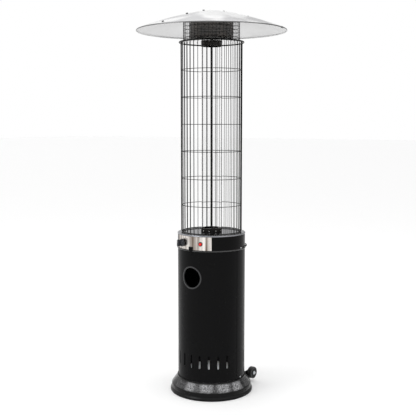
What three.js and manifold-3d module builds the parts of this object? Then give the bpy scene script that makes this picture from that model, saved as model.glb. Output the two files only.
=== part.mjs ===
// Gas patio heater: a bottle housing on a weighted base, a glass flame tube inside a round wire guard,
// and an emitter drum under a domed reflector. Millimetres, +Z up, the control panel faces -Y.
// An angle psi runs from the front (-Y) towards +X.

import * as THREE from 'three';
import { mergeVertices } from 'three/addons/utils/BufferGeometryUtils.js';
import Module from 'manifold-3d';

const wasm = await Module();
wasm.setup();

// ---------------------------------------------------------------- driving sizes

const touch = 0.3; // gap between pieces that rest on each other
const slide = 0.5; // gap round pieces that pass through or turn in each other

const bodyRadius = 169;
const bodyWall = 1.2;
const bodyHeight = 651;
const collarHeight = 79;

const baseHeight = 80.5;
const baseSpread = 40; // how far the foot stands out beyond the housing
const baseWall = 1.8;

const doorHalfAngle = 84.3; // degrees each side of the front
const handHoleRadius = 51;
const handHoleBelowDoorTop = 130;
const slotWidth = 9;
const slotLength = 66;
const slotAboveBase = 68;
const slotPitch = 15.85; // degrees
const doorSlots = 9;
const backSlots = 10;

const tubeRadius = 49.5;
const tubeWall = 2.5;
const guardHeight = 935;
const guardInset = 20; // how far the wire guard stands in from the housing
const wireSize = 3.6;
const ringRodRadius = 3;
const postRadius = 3.5;
const guardHoops = 6;
const wiresPerPanel = 9;
const firstPost = 37; // degrees

const cageRadius = 139.7;
const drumRadius = 108;
const drumFeet = 17;

const reflectorRadius = 369;
const reflectorRise = 96;
const reflectorAboveRing = 57;
const reflectorWall = 1.2;
const reflectorSeam = -4; // degrees

const wheelRadius = 31;
const wheelWidth = 25;
const wheelTrack = 226;
const axleHeight = 47;
const axleRadius = 4;

const knobRadius = 19.5;
const knobAngle = -17.8;
const knobDepth = 31;
const knobTravel = 4;
const buttonRadius = 7;
const buttonAngle = 17.7;
const buttonTravel = 4;
const panelHalfAngle = 36.2;
const panelWall = 1.2;
const valveInset = 31; // how far the valve's middle lies in from the housing
const inletRadius = 5;

// ---------------------------------------------------------------- heights and radii worked out from them

const deckBottom = baseHeight + bodyHeight; // top edge of the door
const deckTop = deckBottom + 0.5 + collarHeight + 1; // upper face of the top plate
const guardTop = deckTop + guardHeight;
const rimHeight = guardTop + reflectorAboveRing;
const bodyInside = bodyRadius - bodyWall;
const baseFlangeRadius = bodyRadius + baseSpread;
const guardRadius = bodyRadius - guardInset;
const valveRadius = bodyRadius - valveInset;
const controlHeight = deckTop - 41;
const panelFace = bodyRadius + touch + panelWall;

// ---------------------------------------------------------------- materials

/** A plain standard material of the given colour. */
function material(color, roughness, metalness, opacity = 1) {
  return new THREE.MeshStandardMaterial({ color, roughness, metalness, opacity, transparent: opacity < 1 });
}

const blackGloss = material(0x161616, 0.25, 0.1);
const blackWire = material(0x101010, 0.4, 0.2);
const blackPlastic = material(0x0d0d0d, 0.45, 0);
const brushedSteel = material(0xb9b4ad, 0.3, 1);
const polishedSteel = material(0xd5d3cf, 0.12, 1);
const galvanised = material(0xb5b8ba, 0.5, 0.9);
const darkSteel = material(0x2b2725, 0.6, 0.7);
const brass = material(0xb08d45, 0.3, 1);
const castIron = material(0x35332f, 0.8, 0.5);
const glass = material(0xe8f0f2, 0.03, 0, 0.25);
const redPlastic = material(0xb3211d, 0.35, 0);
const trimGrey = material(0x6d6f71, 0.45, 0.1);

// ---------------------------------------------------------------- geometry helpers

const rad = THREE.MathUtils.degToRad;

/** Point at radius r and angle psi (degrees), height z. */
function polar(r, psi, z) {
  return new THREE.Vector3(r * Math.sin(rad(psi)), -r * Math.cos(rad(psi)), z);
}

/** Closed three.js geometry to manifold solid. */
function solid(geometry) {
  const bare = geometry.clone();
  bare.deleteAttribute('normal');
  bare.deleteAttribute('uv');
  const merged = mergeVertices(bare, 1e-4);
  const kept = [];
  for (let i = 0; i < merged.index.count; i += 3) {
    const [a, b, c] = [0, 1, 2].map((k) => merged.index.getX(i + k));
    if (a !== b && b !== c && c !== a) kept.push(a, b, c);
  }
  return new wasm.Manifold(new wasm.Mesh({
    numProp: 3,
    vertProperties: new Float32Array(merged.attributes.position.array),
    triVerts: new Uint32Array(kept),
  }));
}

/** Manifold solid to three.js geometry. */
function geometryOf(shape) {
  const mesh = shape.getMesh();
  const geometry = new THREE.BufferGeometry();
  geometry.setAttribute('position', new THREE.BufferAttribute(mesh.vertProperties, 3));
  geometry.setIndex(new THREE.BufferAttribute(mesh.triVerts, 1));
  geometry.computeVertexNormals();
  return geometry;
}

/** Joins closed geometries into one solid. */
function join(...parts) {
  return parts.map(solid).reduce((whole, next) => whole.add(next));
}

const bodySteps = 36; // facets round the housing, base, collar and top plate
const tubeSteps = 24; // facets round the glass tube and what holds it

/** Turns an outline of (radius, height) points round Z; the start of the turn is the front. */
function revolve(outline, segments = bodySteps) {
  const points = (Array.isArray(outline) ? outline : outline.getPoints(2).map((p) => [p.x, p.y]))
    .map(([r, z]) => new THREE.Vector2(r, z));
  const area = THREE.ShapeUtils.area(points);
  if (area < 0) points.reverse();
  const onAxis = points[0].x === 0 && points[points.length - 1].x === 0;
  if (!onAxis && !points[0].equals(points[points.length - 1])) points.push(points[0].clone());
  return new THREE.LatheGeometry(points, segments).rotateX(Math.PI / 2);
}

/** Plain ring between two radii and two heights. */
function ring(inner, outer, bottom, top, segments = bodySteps) {
  return revolve([[inner, bottom], [outer, bottom], [outer, top], [inner, top]], segments);
}

/** Solid disc or upright rod on the Z axis. */
function disc(radius, bottom, top, segments = bodySteps) {
  return revolve([[0, bottom], [radius, bottom], [radius, top], [0, top]], segments);
}

/** Round rod bent into a full ring. */
function torus(radius, rod, height, segments = 36, sides = 6) {
  return new THREE.TorusGeometry(radius, rod, sides, segments).translate(0, 0, height);
}

/** Part of a ring between two angles, as a straight extrusion along Z. */
function arcBand(inner, outer, bottom, top, from, to, steps) {
  const shape = new THREE.Shape();
  shape.absarc(0, 0, outer, rad(from - 90), rad(to - 90), false);
  shape.absarc(0, 0, inner, rad(to - 90), rad(from - 90), true);
  return new THREE.ExtrudeGeometry(shape, {
    depth: top - bottom,
    bevelEnabled: false,
    curveSegments: Math.ceil(steps / 2),
  }).translate(0, 0, bottom);
}

/** Box from its low and high corners. */
function block([x0, y0, z0], [x1, y1, z1]) {
  return new THREE.BoxGeometry(x1 - x0, y1 - y0, z1 - z0)
    .translate((x0 + x1) / 2, (y0 + y1) / 2, (z0 + z1) / 2);
}

/** Moves a shape built about +Z so that +Z points outward at angle psi and +Y points up. */
function facing(geometry, psi, radius, height) {
  const at = polar(radius, psi, height);
  return geometry.rotateX(Math.PI / 2).rotateZ(rad(psi)).translate(at.x, at.y, at.z);
}

/** Round rod along a smooth path through points. */
function bentRod(points, radius, steps, sides = 6) {
  const section = new THREE.Shape();
  section.absarc(0, 0, radius, 0, 2 * Math.PI, false);
  return new THREE.ExtrudeGeometry(section, {
    extrudePath: new THREE.CatmullRomCurve3(points, false, 'centripetal'),
    steps,
    curveSegments: sides / 2,
    bevelEnabled: false,
  });
}

/** Stadium-shaped cutter through the shell wall at angle psi. */
function slotCutter(psi) {
  const half = slotWidth / 2;
  const reach = slotLength / 2 - half;
  const shape = new THREE.Shape();
  shape.absarc(0, reach, half, 0, Math.PI, false);
  shape.absarc(0, -reach, half, Math.PI, 2 * Math.PI, false);
  const cutter = new THREE.ExtrudeGeometry(shape, { depth: 30, bevelEnabled: false, curveSegments: 2 });
  return facing(cutter, psi, bodyRadius - 15, baseHeight + slotAboveBase + slotLength / 2);
}

const heater = new THREE.Group();

/** Adds a named mesh to the heater. */
function piece(name, shape, look) {
  const geometry = shape instanceof THREE.BufferGeometry ? shape : geometryOf(shape);
  const mesh = new THREE.Mesh(geometry, look);
  mesh.name = name;
  heater.add(mesh);
  return mesh;
}

// ---------------------------------------------------------------- base

const lipInside = bodyRadius + 3 * touch;
const lipOutside = lipInside + 2 * baseWall;
const shelfTop = baseHeight - 5;
const shelfInner = bodyRadius - 19;
const footHeight = 9;
const footFlange = 8;
const creaseHeight = 17;
const creaseDepth = 1.5;
const bandTop = 36;
const bandRadius = baseFlangeRadius - 6.5;

/** Outer face of the base ring as (radius, height) points, moved inward by an offset. */
function baseOutline(offset) {
  const drop = offset * 0.5;
  return [
    [baseFlangeRadius - offset, footHeight - drop],
    [bandRadius - creaseDepth - offset, creaseHeight],
    [bandRadius - offset, creaseHeight + 7],
    [bandRadius - offset, bandTop - drop],
    [bandRadius - 3.5 - offset, bandTop + 5 - drop],
    [lipOutside + 1 - offset, shelfTop - 2 - offset],
  ];
}

/** Base ring: rolled foot, crease, band, cone, folded lip and the shelf inside it. */
function baseRing() {
  const inner = baseOutline(baseWall).reverse();
  return revolve([
    [baseFlangeRadius - footFlange, 0],
    [baseFlangeRadius - 1.5, 0],
    [baseFlangeRadius, 2],
    ...baseOutline(0),
    [lipOutside, baseHeight - 1],
    [lipOutside - 1, baseHeight],
    [lipInside, baseHeight],
    [lipInside, shelfTop],
    [shelfInner, shelfTop],
    [shelfInner, shelfTop - baseWall],
    ...inner,
    [baseFlangeRadius - baseWall, baseWall],
    [baseFlangeRadius - footFlange, baseWall],
  ]);
}

const rivetAngles = [0, 90, 180, 270];
const rivetSpread = 3.7; // degrees each side of a bracket's middle
const rivetRadius = 2.2;
const rivetProud = 1.2;
const rivetHeight = creaseHeight + 10;
const ballastBottom = 14;
const ballastTop = 40;
const bracketWall = 2;
const facetDepth = bandRadius * (1 - Math.cos(Math.PI / bodySteps));
const bracketFace = bandRadius - creaseDepth - baseWall - facetDepth - touch;
const ballastRadius = bracketFace - bracketWall - 6;

/** Rivet through the band, its head outside; the cutter for its hole is longer and wider. */
function rivet(psi, grow = 0) {
  const outer = bandRadius + rivetProud + 10 * grow;
  const inner = bracketFace - bracketWall / 2 - 10 * grow;
  const shank = new THREE.CylinderGeometry(rivetRadius + grow, rivetRadius + grow, outer - inner, 8)
    .rotateX(Math.PI / 2);
  return facing(shank, psi, (outer + inner) / 2, rivetHeight);
}

/** L-shaped bracket inside the band with its two rivets; it carries the ballast disc. */
function ballastBracket(psi) {
  const spread = rivetSpread + 2.3;
  const footTop = ballastBottom - touch;
  const upright = arcBand(bracketFace - bracketWall, bracketFace, footTop - bracketWall, rivetHeight + 7,
    psi - spread, psi + spread, 4);
  const foot = arcBand(ballastRadius - 12, bracketFace - 1, footTop - bracketWall, footTop,
    psi - spread, psi + spread, 4);
  return join(upright, foot, rivet(psi - rivetSpread), rivet(psi + rivetSpread));
}

let base = solid(baseRing());
for (const psi of rivetAngles) {
  for (const side of [-rivetSpread, rivetSpread]) base = base.subtract(solid(rivet(psi + side, touch)));
}
piece('base_ring', base, blackGloss);
for (const [index, psi] of rivetAngles.entries()) {
  piece(`ballast_bracket_${index + 1}`, ballastBracket(psi), blackPlastic);
}
piece('ballast_disc', disc(ballastRadius, ballastBottom, ballastTop, 32), castIron);

const trayTop = baseHeight + 11;
const trayWall = 1.5;
const trayRadius = bodyInside - 7;
piece('bottle_tray', revolve([
  [0, trayTop - trayWall],
  [trayRadius - trayWall, trayTop - trayWall],
  [trayRadius - trayWall, shelfTop + touch],
  [trayRadius, shelfTop + touch],
  [trayRadius, trayTop - 1],
  [trayRadius - 1, trayTop],
  [0, trayTop],
]), galvanised);

// ---------------------------------------------------------------- wheels

const axleBack = baseFlangeRadius - 1;
const cheekWall = 3;
const cheekHalf = 13; // half height of the cheek, and the radius of its eye
const cheekStart = bodyRadius - 23;
const wheelGap = 3.5;
const tabBottom = 18;
const tabTop = 44;
const tabWall = 2.5;
const tabWidth = 26;

/** Solid that fills the base ring's outer shape, grown by an offset, to trim what meets it. */
function baseEnvelope(grow) {
  const outer = baseOutline(0).map(([r, z]) => [r + grow, z]);
  return revolve([
    [0, -5],
    [baseFlangeRadius + grow, -5],
    [baseFlangeRadius + grow, 2],
    ...outer,
    [lipOutside + grow, baseHeight + grow],
    [0, baseHeight + grow],
  ]);
}

/** Bracket between the base ring and one wheel, on the side given by its sign. */
function wheelBracket(sign) {
  const inner = wheelTrack / 2 - wheelWidth / 2 - wheelGap - cheekWall;
  const outer = inner + cheekWall;
  const cheek = block([inner, cheekStart, axleHeight - cheekHalf], [outer, axleBack, axleHeight + cheekHalf]);
  const eye = new THREE.CylinderGeometry(cheekHalf, cheekHalf, cheekWall, 20)
    .rotateZ(Math.PI / 2).translate(inner + cheekWall / 2, axleBack, axleHeight);
  const tab = solid(baseEnvelope(touch + tabWall)).intersect(
    solid(block([inner - tabWidth, cheekStart - 40, tabBottom], [outer, axleBack + 40, tabTop])),
  );
  const rib = block([inner, cheekStart, tabBottom], [outer, cheekStart + 38, axleHeight]);
  const bore = new THREE.CylinderGeometry(axleRadius + touch, axleRadius + touch, 20, 16)
    .rotateZ(Math.PI / 2).translate(inner, axleBack, axleHeight);
  return join(cheek, eye, rib).add(tab).subtract(solid(baseEnvelope(touch))).subtract(solid(bore))
    .scale([sign, 1, 1]);
}

/** Moulded wheel about the X axis with a hub recess on both faces. */
function wheel() {
  const half = wheelWidth / 2;
  const tread = new THREE.Shape();
  tread.moveTo(axleRadius + touch, -half);
  tread.lineTo(10, -half);
  tread.lineTo(12, -half + 4);
  tread.lineTo(wheelRadius - 8, -half + 4);
  tread.lineTo(wheelRadius - 6, -half);
  tread.lineTo(wheelRadius - 2.5, -half);
  tread.lineTo(wheelRadius, -half + 3);
  tread.lineTo(wheelRadius, half - 3);
  tread.lineTo(wheelRadius - 2.5, half);
  tread.lineTo(wheelRadius - 6, half);
  tread.lineTo(wheelRadius - 8, half - 4);
  tread.lineTo(12, half - 4);
  tread.lineTo(10, half);
  tread.lineTo(axleRadius + touch, half);
  return revolve(tread, 18).rotateY(Math.PI / 2);
}

/** Axle bolt with its head behind the bracket and a washer and nut outside the wheel. */
function wheelBolt(sign) {
  const back = -wheelWidth / 2 - wheelGap - cheekWall;
  const front = wheelWidth / 2;
  const bolt = revolve([
    [0, back - 5],
    [7, back - 5],
    [7, back - touch],
    [axleRadius, back - touch],
    [axleRadius, back + cheekWall + touch],
    [6, back + cheekWall + touch],
    [6, -front - touch],
    [axleRadius, -front - touch],
    [axleRadius, front + touch],
    [9, front + touch],
    [9, front + touch + 1.5],
    [6.5, front + touch + 1.5],
    [6.5, front + 7],
    [5, front + 8],
    [0, front + 8],
  ], 8);
  return bolt.rotateY(sign * Math.PI / 2);
}

for (const [side, sign] of [['left', -1], ['right', 1]]) {
  piece(`wheel_bracket_${side}`, wheelBracket(sign), blackGloss);
  const axle = new THREE.Vector3((sign * wheelTrack) / 2, axleBack, axleHeight);
  piece(`wheel_${side}`, wheel(), blackPlastic).position.copy(axle);
  piece(`wheel_bolt_${side}`, wheelBolt(sign), galvanised).position.copy(axle);
}

// ---------------------------------------------------------------- housing

const seamGap = 0.4; // degrees on each side of the seam
const doorBottom = baseHeight + 1;
const doorTop = deckBottom;
const hingeRadius = 5;
const hingePinRadius = 2.5;
const hingeReach = bodyRadius + touch + hingeRadius;
const hingeHeights = [doorBottom + 90, doorTop - 90];
const knuckleLength = 22;
const leafAngle = 9; // degrees
const doorTabAngle = 2; // degrees each side of the front
const doorTabHeight = 17;
const doorTabBack = bodyRadius + 2 * touch;
const doorTabFace = bodyRadius + 2.2;

/** Door half shell with slots, hand hole, hinge knuckles, leaves and the tab at its top. */
function frontDoor() {
  const edge = doorHalfAngle - seamGap;
  let door = solid(arcBand(bodyInside, bodyRadius, doorBottom, doorTop, -edge, edge, 28));
  for (let i = 0; i < doorSlots; i += 1) {
    door = door.subtract(solid(slotCutter((i - (doorSlots - 1) / 2) * slotPitch)));
  }
  const hole = disc(handHoleRadius, 0, 40, 24);
  door = door.subtract(solid(facing(hole, 0, bodyRadius - 20, doorTop - handHoleBelowDoorTop)));
  for (const height of hingeHeights) {
    door = door.add(solid(hingeLeaf(height + touch, height + knuckleLength, 1)));
    door = door.subtract(solid(hingeBore(height, height + knuckleLength + 1)));
  }
  const foot = arcBand(bodyRadius - 0.6, doorTabFace, doorTop - 16, doorTop - 1,
    -doorTabAngle, doorTabAngle, 4);
  const tab = arcBand(doorTabBack, doorTabFace, doorTop - 4, doorTop + doorTabHeight,
    -doorTabAngle, doorTabAngle, 4);
  return door.add(solid(foot)).add(solid(tab));
}

/** Leaf hugging the shell and the knuckle at its end; side is +1 on the door and -1 on the back. */
function hingeLeaf(bottom, top, side) {
  const psi = -doorHalfAngle;
  const start = psi + side * (seamGap + 0.3);
  const end = psi + side * leafAngle;
  const lift = side > 0 ? -0.6 : touch;
  const leaf = arcBand(bodyRadius + lift, bodyRadius + 2.3, bottom, top,
    Math.min(start, end), Math.max(start, end), 6);
  const at = polar(hingeReach, psi, 0);
  const knuckle = disc(hingeRadius, bottom, top, 16).translate(at.x, at.y, 0);
  const bridge = arcBand(bodyRadius + touch, bodyRadius + 3, bottom, top,
    Math.min(psi, start + side), Math.max(psi, start + side), 2);
  return geometryOf(join(leaf, knuckle, bridge));
}

/** Cutter for the pin's bore through a door knuckle. */
function hingeBore(bottom, top) {
  const at = polar(hingeReach, -doorHalfAngle, 0);
  return disc(hingePinRadius + touch, bottom, top, 16).translate(at.x, at.y, 0);
}

/** Fixed hinge half on the back shell, with the pin that the door's knuckle drops over. */
function fixedHinge(height) {
  const at = polar(hingeReach, -doorHalfAngle, 0);
  const pin = disc(hingePinRadius, height - 4, height + knuckleLength - 2, 16).translate(at.x, at.y, 0);
  return solid(hingeLeaf(height - knuckleLength, height, -1)).add(solid(pin));
}

/** Back half shell with slots and inward edges that the door closes against. */
function backShell() {
  const from = doorHalfAngle + seamGap;
  const to = 360 - from;
  const bottom = shelfTop + touch;
  const top = deckBottom + 0.2;
  let shell = solid(arcBand(bodyInside, bodyRadius, bottom, top, from, to, 32));
  for (let i = 0; i < backSlots; i += 1) {
    shell = shell.subtract(solid(slotCutter(180 + (i - (backSlots - 1) / 2) * slotPitch)));
  }
  const edgeDepth = 13;
  const low = trayTop + 3;
  for (const [a, b] of [[from, from + 0.7], [to - 0.7, to]]) {
    shell = shell.add(solid(arcBand(bodyInside - edgeDepth, bodyInside + 0.3, low, top, a, b, 2)));
  }
  return shell;
}

piece('back_shell', backShell(), blackGloss);
piece('front_door', frontDoor(), blackGloss);
piece('hinge_lower', fixedHinge(hingeHeights[0]), blackGloss);
piece('hinge_upper', fixedHinge(hingeHeights[1]), blackGloss);

/** Trim round the hand hole: a flange on the door's face and a sleeve through the hole. */
function handHoleTrim() {
  const height = doorTop - handHoleBelowDoorTop;
  const bore = handHoleRadius - 1.7;
  const flange = facing(ring(bore, handHoleRadius + 5.2, 0, 40, 24), 0, bodyRadius - 20, height);
  const skin = arcBand(bodyRadius + touch + 0.1, bodyRadius + 2, height - 80, height + 80, -24, 24, 10);
  const sleeve = facing(ring(bore, handHoleRadius - 0.5, 0, 40, 24), 0, bodyRadius - 20, height);
  const depth = arcBand(bodyInside - 6, bodyRadius + 1.9, height - 80, height + 80, -24, 24, 10);
  return solid(flange).intersect(solid(skin)).add(solid(sleeve).intersect(solid(depth)));
}

piece('hand_hole_trim', handHoleTrim(), trimGrey);

const catchAngle = doorHalfAngle - seamGap - 3;
const magnet = facing(block([-7, -18, -26], [7, 18, -4]), catchAngle, bodyInside, doorTop - 250);
piece('magnet_catch', magnet, blackPlastic);

// ---------------------------------------------------------------- control head

const ceilingBottom = deckBottom + 1;
const spindleRadius = 4;
const igniterNeck = buttonRadius + 1.4;

/** Cutter where the gas inlet pipe passes the ceiling plate. */
function inletHole() {
  const at = polar(valveRadius, knobAngle, 0);
  return disc(inletRadius + 2, ceilingBottom - 5, ceilingBottom + 8, 16).translate(at.x, at.y, 0);
}

piece('bay_ceiling', solid(disc(bodyInside - 1.2, ceilingBottom, ceilingBottom + 1.5))
  .subtract(solid(inletHole())), galvanised);

const collarBottom = deckBottom + 3;
const deckWall = 1.2;
const deckEdge = 5; // radius of the top plate's rolled edge
const collarTop = deckTop - deckEdge + 1;
const collarWall = 1.5;
const beadRadius = 2.2;
const panelBottom = deckBottom + 8.5;
const panelTop = deckTop - 7;
const tabRoom = 9.5; // half width kept clear for the door's tab
const catchWidth = 24;
const catchHeight = 15;

/** Collar band with a rolled bead at its lower edge and a window behind the control panel. */
function controlCollar() {
  const outline = new THREE.Shape();
  outline.moveTo(bodyRadius - collarWall, collarBottom - 2);
  outline.lineTo(bodyRadius + 1, collarBottom - 2);
  const beadHeight = collarBottom + beadRadius - 2;
  outline.absarc(bodyRadius + 1.6, beadHeight, beadRadius, -Math.PI / 2, Math.PI / 2, false);
  outline.lineTo(bodyRadius, collarBottom + 2 * beadRadius - 1);
  outline.lineTo(bodyRadius, collarTop);
  outline.lineTo(bodyRadius - collarWall, collarTop);
  const band = solid(revolve(outline));
  const opening = panelHalfAngle - 3;
  const sill = panelBottom + 12;
  const windowCut = arcBand(bodyRadius - 20, bodyRadius + 20, sill, panelTop - 3,
    -opening, opening, 12);
  const beadCut = block([-tabRoom, -bodyRadius - 20, 0], [tabRoom, -bodyRadius - 0.1, collarBottom + 40]);
  return band.subtract(solid(windowCut)).subtract(solid(beadCut));
}

/** Curved stainless panel with holes for the spindle and the igniter, notched for the catch. */
function controlPanel() {
  const sheet = arcBand(bodyRadius + touch, panelFace, panelBottom, panelTop,
    -panelHalfAngle, panelHalfAngle, 24);
  const spindleHole = facing(disc(spindleRadius + 2, 0, 40, 20), knobAngle, bodyRadius - 20, controlHeight);
  const igniterHole = facing(disc(igniterNeck + slide, 0, 40, 24), buttonAngle,
    bodyRadius - 20, controlHeight);
  const half = catchWidth / 2 + touch;
  const notch = block([-half, -bodyRadius - 20, panelBottom - 5],
    [half, -bodyRadius + 20, panelBottom + catchHeight + touch]);
  return solid(sheet).subtract(solid(spindleHole)).subtract(solid(igniterHole)).subtract(solid(notch));
}

piece('control_collar', controlCollar(), blackGloss);
piece('control_panel', controlPanel(), brushedSteel);

/** Inverted U of black plastic that the door's tab slides into. */
function doorCatch() {
  const half = catchWidth / 2;
  const frame = block([-half, -bodyRadius - 4.6, panelBottom],
    [half, -bodyRadius + 12, panelBottom + catchHeight]);
  const room = block([-tabRoom, -bodyRadius - 20, panelBottom - 5],
    [tabRoom, -bodyRadius + 20, panelBottom + catchHeight - 2.5]);
  const outside = solid(ring(bodyRadius + touch, bodyRadius + 20, panelBottom - 5, panelTop));
  return solid(frame).subtract(solid(room)).intersect(outside);
}

piece('door_catch', doorCatch(), blackPlastic);

const deckHole = 44;

/** Polished top plate with its edge rolled down over the collar. */
function topPlate() {
  const inner = bodyRadius + 2 * touch;
  const outer = inner + deckWall;
  const outline = new THREE.Shape();
  outline.moveTo(deckHole, deckTop - deckWall);
  outline.lineTo(outer - deckEdge, deckTop - deckWall);
  outline.absarc(outer - deckEdge, deckTop - deckEdge, deckEdge - deckWall, Math.PI / 2, 0, true);
  outline.lineTo(inner, deckTop - deckEdge - 1);
  outline.lineTo(outer, deckTop - deckEdge - 1);
  outline.absarc(outer - deckEdge, deckTop - deckEdge, deckEdge, 0, Math.PI / 2, false);
  outline.lineTo(deckHole, deckTop);
  return revolve(outline);
}

piece('top_plate', topPlate(), polishedSteel);

const handleRod = 3.2;
const handleReach = 18; // how far the bow's middle stands out from the collar
const handleEnd = 120; // degrees

/** Rear handle: a bow whose ends run out onto the collar in flat lugs. */
function rearHandle() {
  const height = collarBottom + 2 * beadRadius - 1.2 + handleRod;
  const end = polar(bodyRadius + 1.5, handleEnd, 0);
  const back = bodyRadius + handleReach;
  const middle = (back * back - end.x * end.x - end.y * end.y) / (2 * (back - end.y));
  const bow = back - middle;
  const sweep = Math.atan2(end.x, end.y - middle);
  const points = [];
  for (let i = -8; i <= 8; i += 1) {
    const turn = (sweep * i) / 8;
    points.push(new THREE.Vector3(bow * Math.sin(turn), middle + bow * Math.cos(turn), height));
  }
  const lugs = [[handleEnd - 13, handleEnd + 3], [357 - handleEnd, 373 - handleEnd]]
    .map(([a, b]) => arcBand(bodyRadius + touch, bodyRadius + 2.3, height - handleRod + 0.4, height + 5, a, b, 6));
  return join(bentRod(points, handleRod, 22), ...lugs)
    .subtract(solid(disc(bodyRadius + touch, height - 20, height + 20)));
}

piece('rear_handle', rearHandle(), blackGloss);

const skirtBack = 5.5;
const skirtThick = 5;
const spindleOut = 28;

/** Knob about +Z, seated on the spindle: skirt, hub and grip bar. */
function knob() {
  const back = skirtBack;
  const front = back + knobDepth;
  const body = revolve([
    [0, back],
    [knobRadius - 1, back],
    [knobRadius, back + 1],
    [knobRadius, back + skirtThick - 1],
    [knobRadius - 2, back + skirtThick],
    [knobRadius - 5, back + skirtThick + 1],
    [knobRadius - 6.5, back + 16],
    [knobRadius - 8, back + 18],
    [0, back + 18],
  ], 24);
  const bar = block([-4.5, -knobRadius + 3, back + 6], [4.5, knobRadius - 3, front]);
  const barEnds = solid(disc(knobRadius - 3.5, back + 3, front + 5, 24));
  const bore = disc(spindleRadius + touch, back - 5, spindleOut + knobTravel + 1, 16);
  return solid(body).add(solid(bar).intersect(barEnds)).subtract(solid(bore));
}

/** Places a piece built about +Z on the control panel at angle psi. */
function onPanel(mesh, psi) {
  mesh.rotation.set(Math.PI / 2, 0, rad(psi), 'ZYX');
  mesh.position.copy(polar(panelFace, psi, controlHeight));
  return mesh;
}

onPanel(piece('control_knob', knob(), blackPlastic), knobAngle);
onPanel(piece('valve_spindle', disc(spindleRadius, -21.5, spindleOut, 16), brass), knobAngle);

/** Gas valve: block, spindle neck and inward outlet. */
function gasValve() {
  const depth = panelFace - valveRadius;
  const housing = block([-13, -15, -depth - 13], [13, 15, -depth + 12]);
  const neck = disc(8, -depth, -9 + 4, 16);
  const outlet = disc(6, -depth - 20, -depth, 16);
  const bore = disc(spindleRadius + touch, -23, 5, 16);
  return join(housing, neck, outlet).subtract(solid(bore));
}

/** Bracket that holds the valve's neck behind the panel. */
function valveBracket() {
  const half = 27;
  const sag = panelFace - Math.sqrt((panelFace - panelWall) ** 2 - half ** 2);
  const plate = block([-half, -14, -9.5], [half, 14, -8]);
  const ends = [-1, 1].map((side) => block(
    [Math.min(side * half, side * (half - 1.6)), -14, -9],
    [Math.max(side * half, side * (half - 1.6)), 14, -sag - touch],
  ));
  return join(plate, ...ends).subtract(solid(disc(8 + touch, -20, 5, 20)));
}

onPanel(piece('gas_valve', gasValve(), brass), knobAngle);
onPanel(piece('valve_bracket', valveBracket(), galvanised), knobAngle);

const inletAt = polar(valveRadius, knobAngle, 0);
piece('gas_inlet', revolve([
  [0, ceilingBottom - 30],
  [inletRadius - 1, ceilingBottom - 30],
  [inletRadius, ceilingBottom - 26],
  [inletRadius, ceilingBottom - 18],
  [inletRadius + 4, ceilingBottom - 17],
  [inletRadius + 4, ceilingBottom - 8],
  [inletRadius, ceilingBottom - 7],
  [inletRadius, controlHeight - 15 - touch],
  [0, controlHeight - 15 - touch],
], 12), brass).position.set(inletAt.x, inletAt.y, 0);

const burnerRadius = 34;
const burnerBottom = deckTop - 40;
const feedRadius = 4;
const outletEnd = valveRadius - 20 - touch;
const feedPoints = [
  polar(outletEnd, knobAngle, controlHeight),
  polar(outletEnd - 20, knobAngle, controlHeight),
  polar(outletEnd - 40, knobAngle, controlHeight - 15),
  polar(outletEnd - 60, knobAngle, controlHeight - 17),
  polar(20, knobAngle, controlHeight - 17),
  polar(3, knobAngle, controlHeight - 13),
  polar(0, knobAngle, burnerBottom - touch - 6),
  polar(0, knobAngle, burnerBottom - touch),
];
piece('burner_pipe', bentRod(feedPoints, feedRadius, 26), brass);

piece('burner_head', revolve([
  [6, burnerBottom],
  [burnerRadius - 6, burnerBottom],
  [burnerRadius, burnerBottom + 8],
  [burnerRadius, deckTop - deckWall - 3],
  [deckHole + 7, deckTop - deckWall - 3],
  [deckHole + 7, deckTop - deckWall - touch],
  [burnerRadius, deckTop - deckWall - touch],
  [burnerRadius, deckTop + 13],
  [0, deckTop + 13],
  [0, deckTop + 11],
  [burnerRadius - 2, deckTop + 11],
  [burnerRadius - 2, burnerBottom + 8],
  [burnerRadius - 7, burnerBottom + 2],
  [6, burnerBottom + 2],
], 16), darkSteel);

/** Thermocouple and spark electrode on one small bridge beside the burner. */
function pilotAssembly() {
  const place = burnerRadius + 5;
  const rod = (psi, radius, bottom, top) => {
    const at = polar(place, psi, 0);
    return disc(radius, bottom, top, 10).translate(at.x, at.y, 0);
  };
  const bridge = arcBand(place - 3.5, place + 3.5, deckTop + 1, deckTop + 4, 100, 140, 6);
  return join(bridge, rod(106, 2.2, deckTop - 0.5, deckTop + 24), rod(134, 1.6, deckTop - 0.5, deckTop + 28));
}

piece('pilot_assembly', pilotAssembly(), brushedSteel);

const seatHeight = 20;
const seatLedge = 6;
const tubeBottom = deckTop + seatLedge;
const tubeTop = guardTop + 3;
const seatRadius = tubeRadius + touch + 3;
piece('tube_seat', revolve([
  [tubeRadius - tubeWall - 2, deckTop + touch],
  [seatRadius, deckTop + touch],
  [seatRadius, deckTop + seatHeight - 1],
  [seatRadius - 1, deckTop + seatHeight],
  [tubeRadius + touch, deckTop + seatHeight],
  [tubeRadius + touch, tubeBottom - touch],
  [tubeRadius - tubeWall - 2, tubeBottom - touch],
], tubeSteps), blackPlastic);
piece('glass_tube', ring(tubeRadius - tubeWall, tubeRadius, tubeBottom, tubeTop, tubeSteps), glass);

const cupFloor = -8;
const buttonProud = 5.5;

/** Igniter body behind the panel: a neck through it and a cup that the button slides in. */
function igniterBody() {
  return revolve([
    [0, -52],
    [10, -52],
    [10, -2.5],
    [igniterNeck, -2.5],
    [igniterNeck, 2],
    [buttonRadius + touch, 2],
    [buttonRadius + touch, cupFloor],
    [0, cupFloor],
  ], 16);
}

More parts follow.
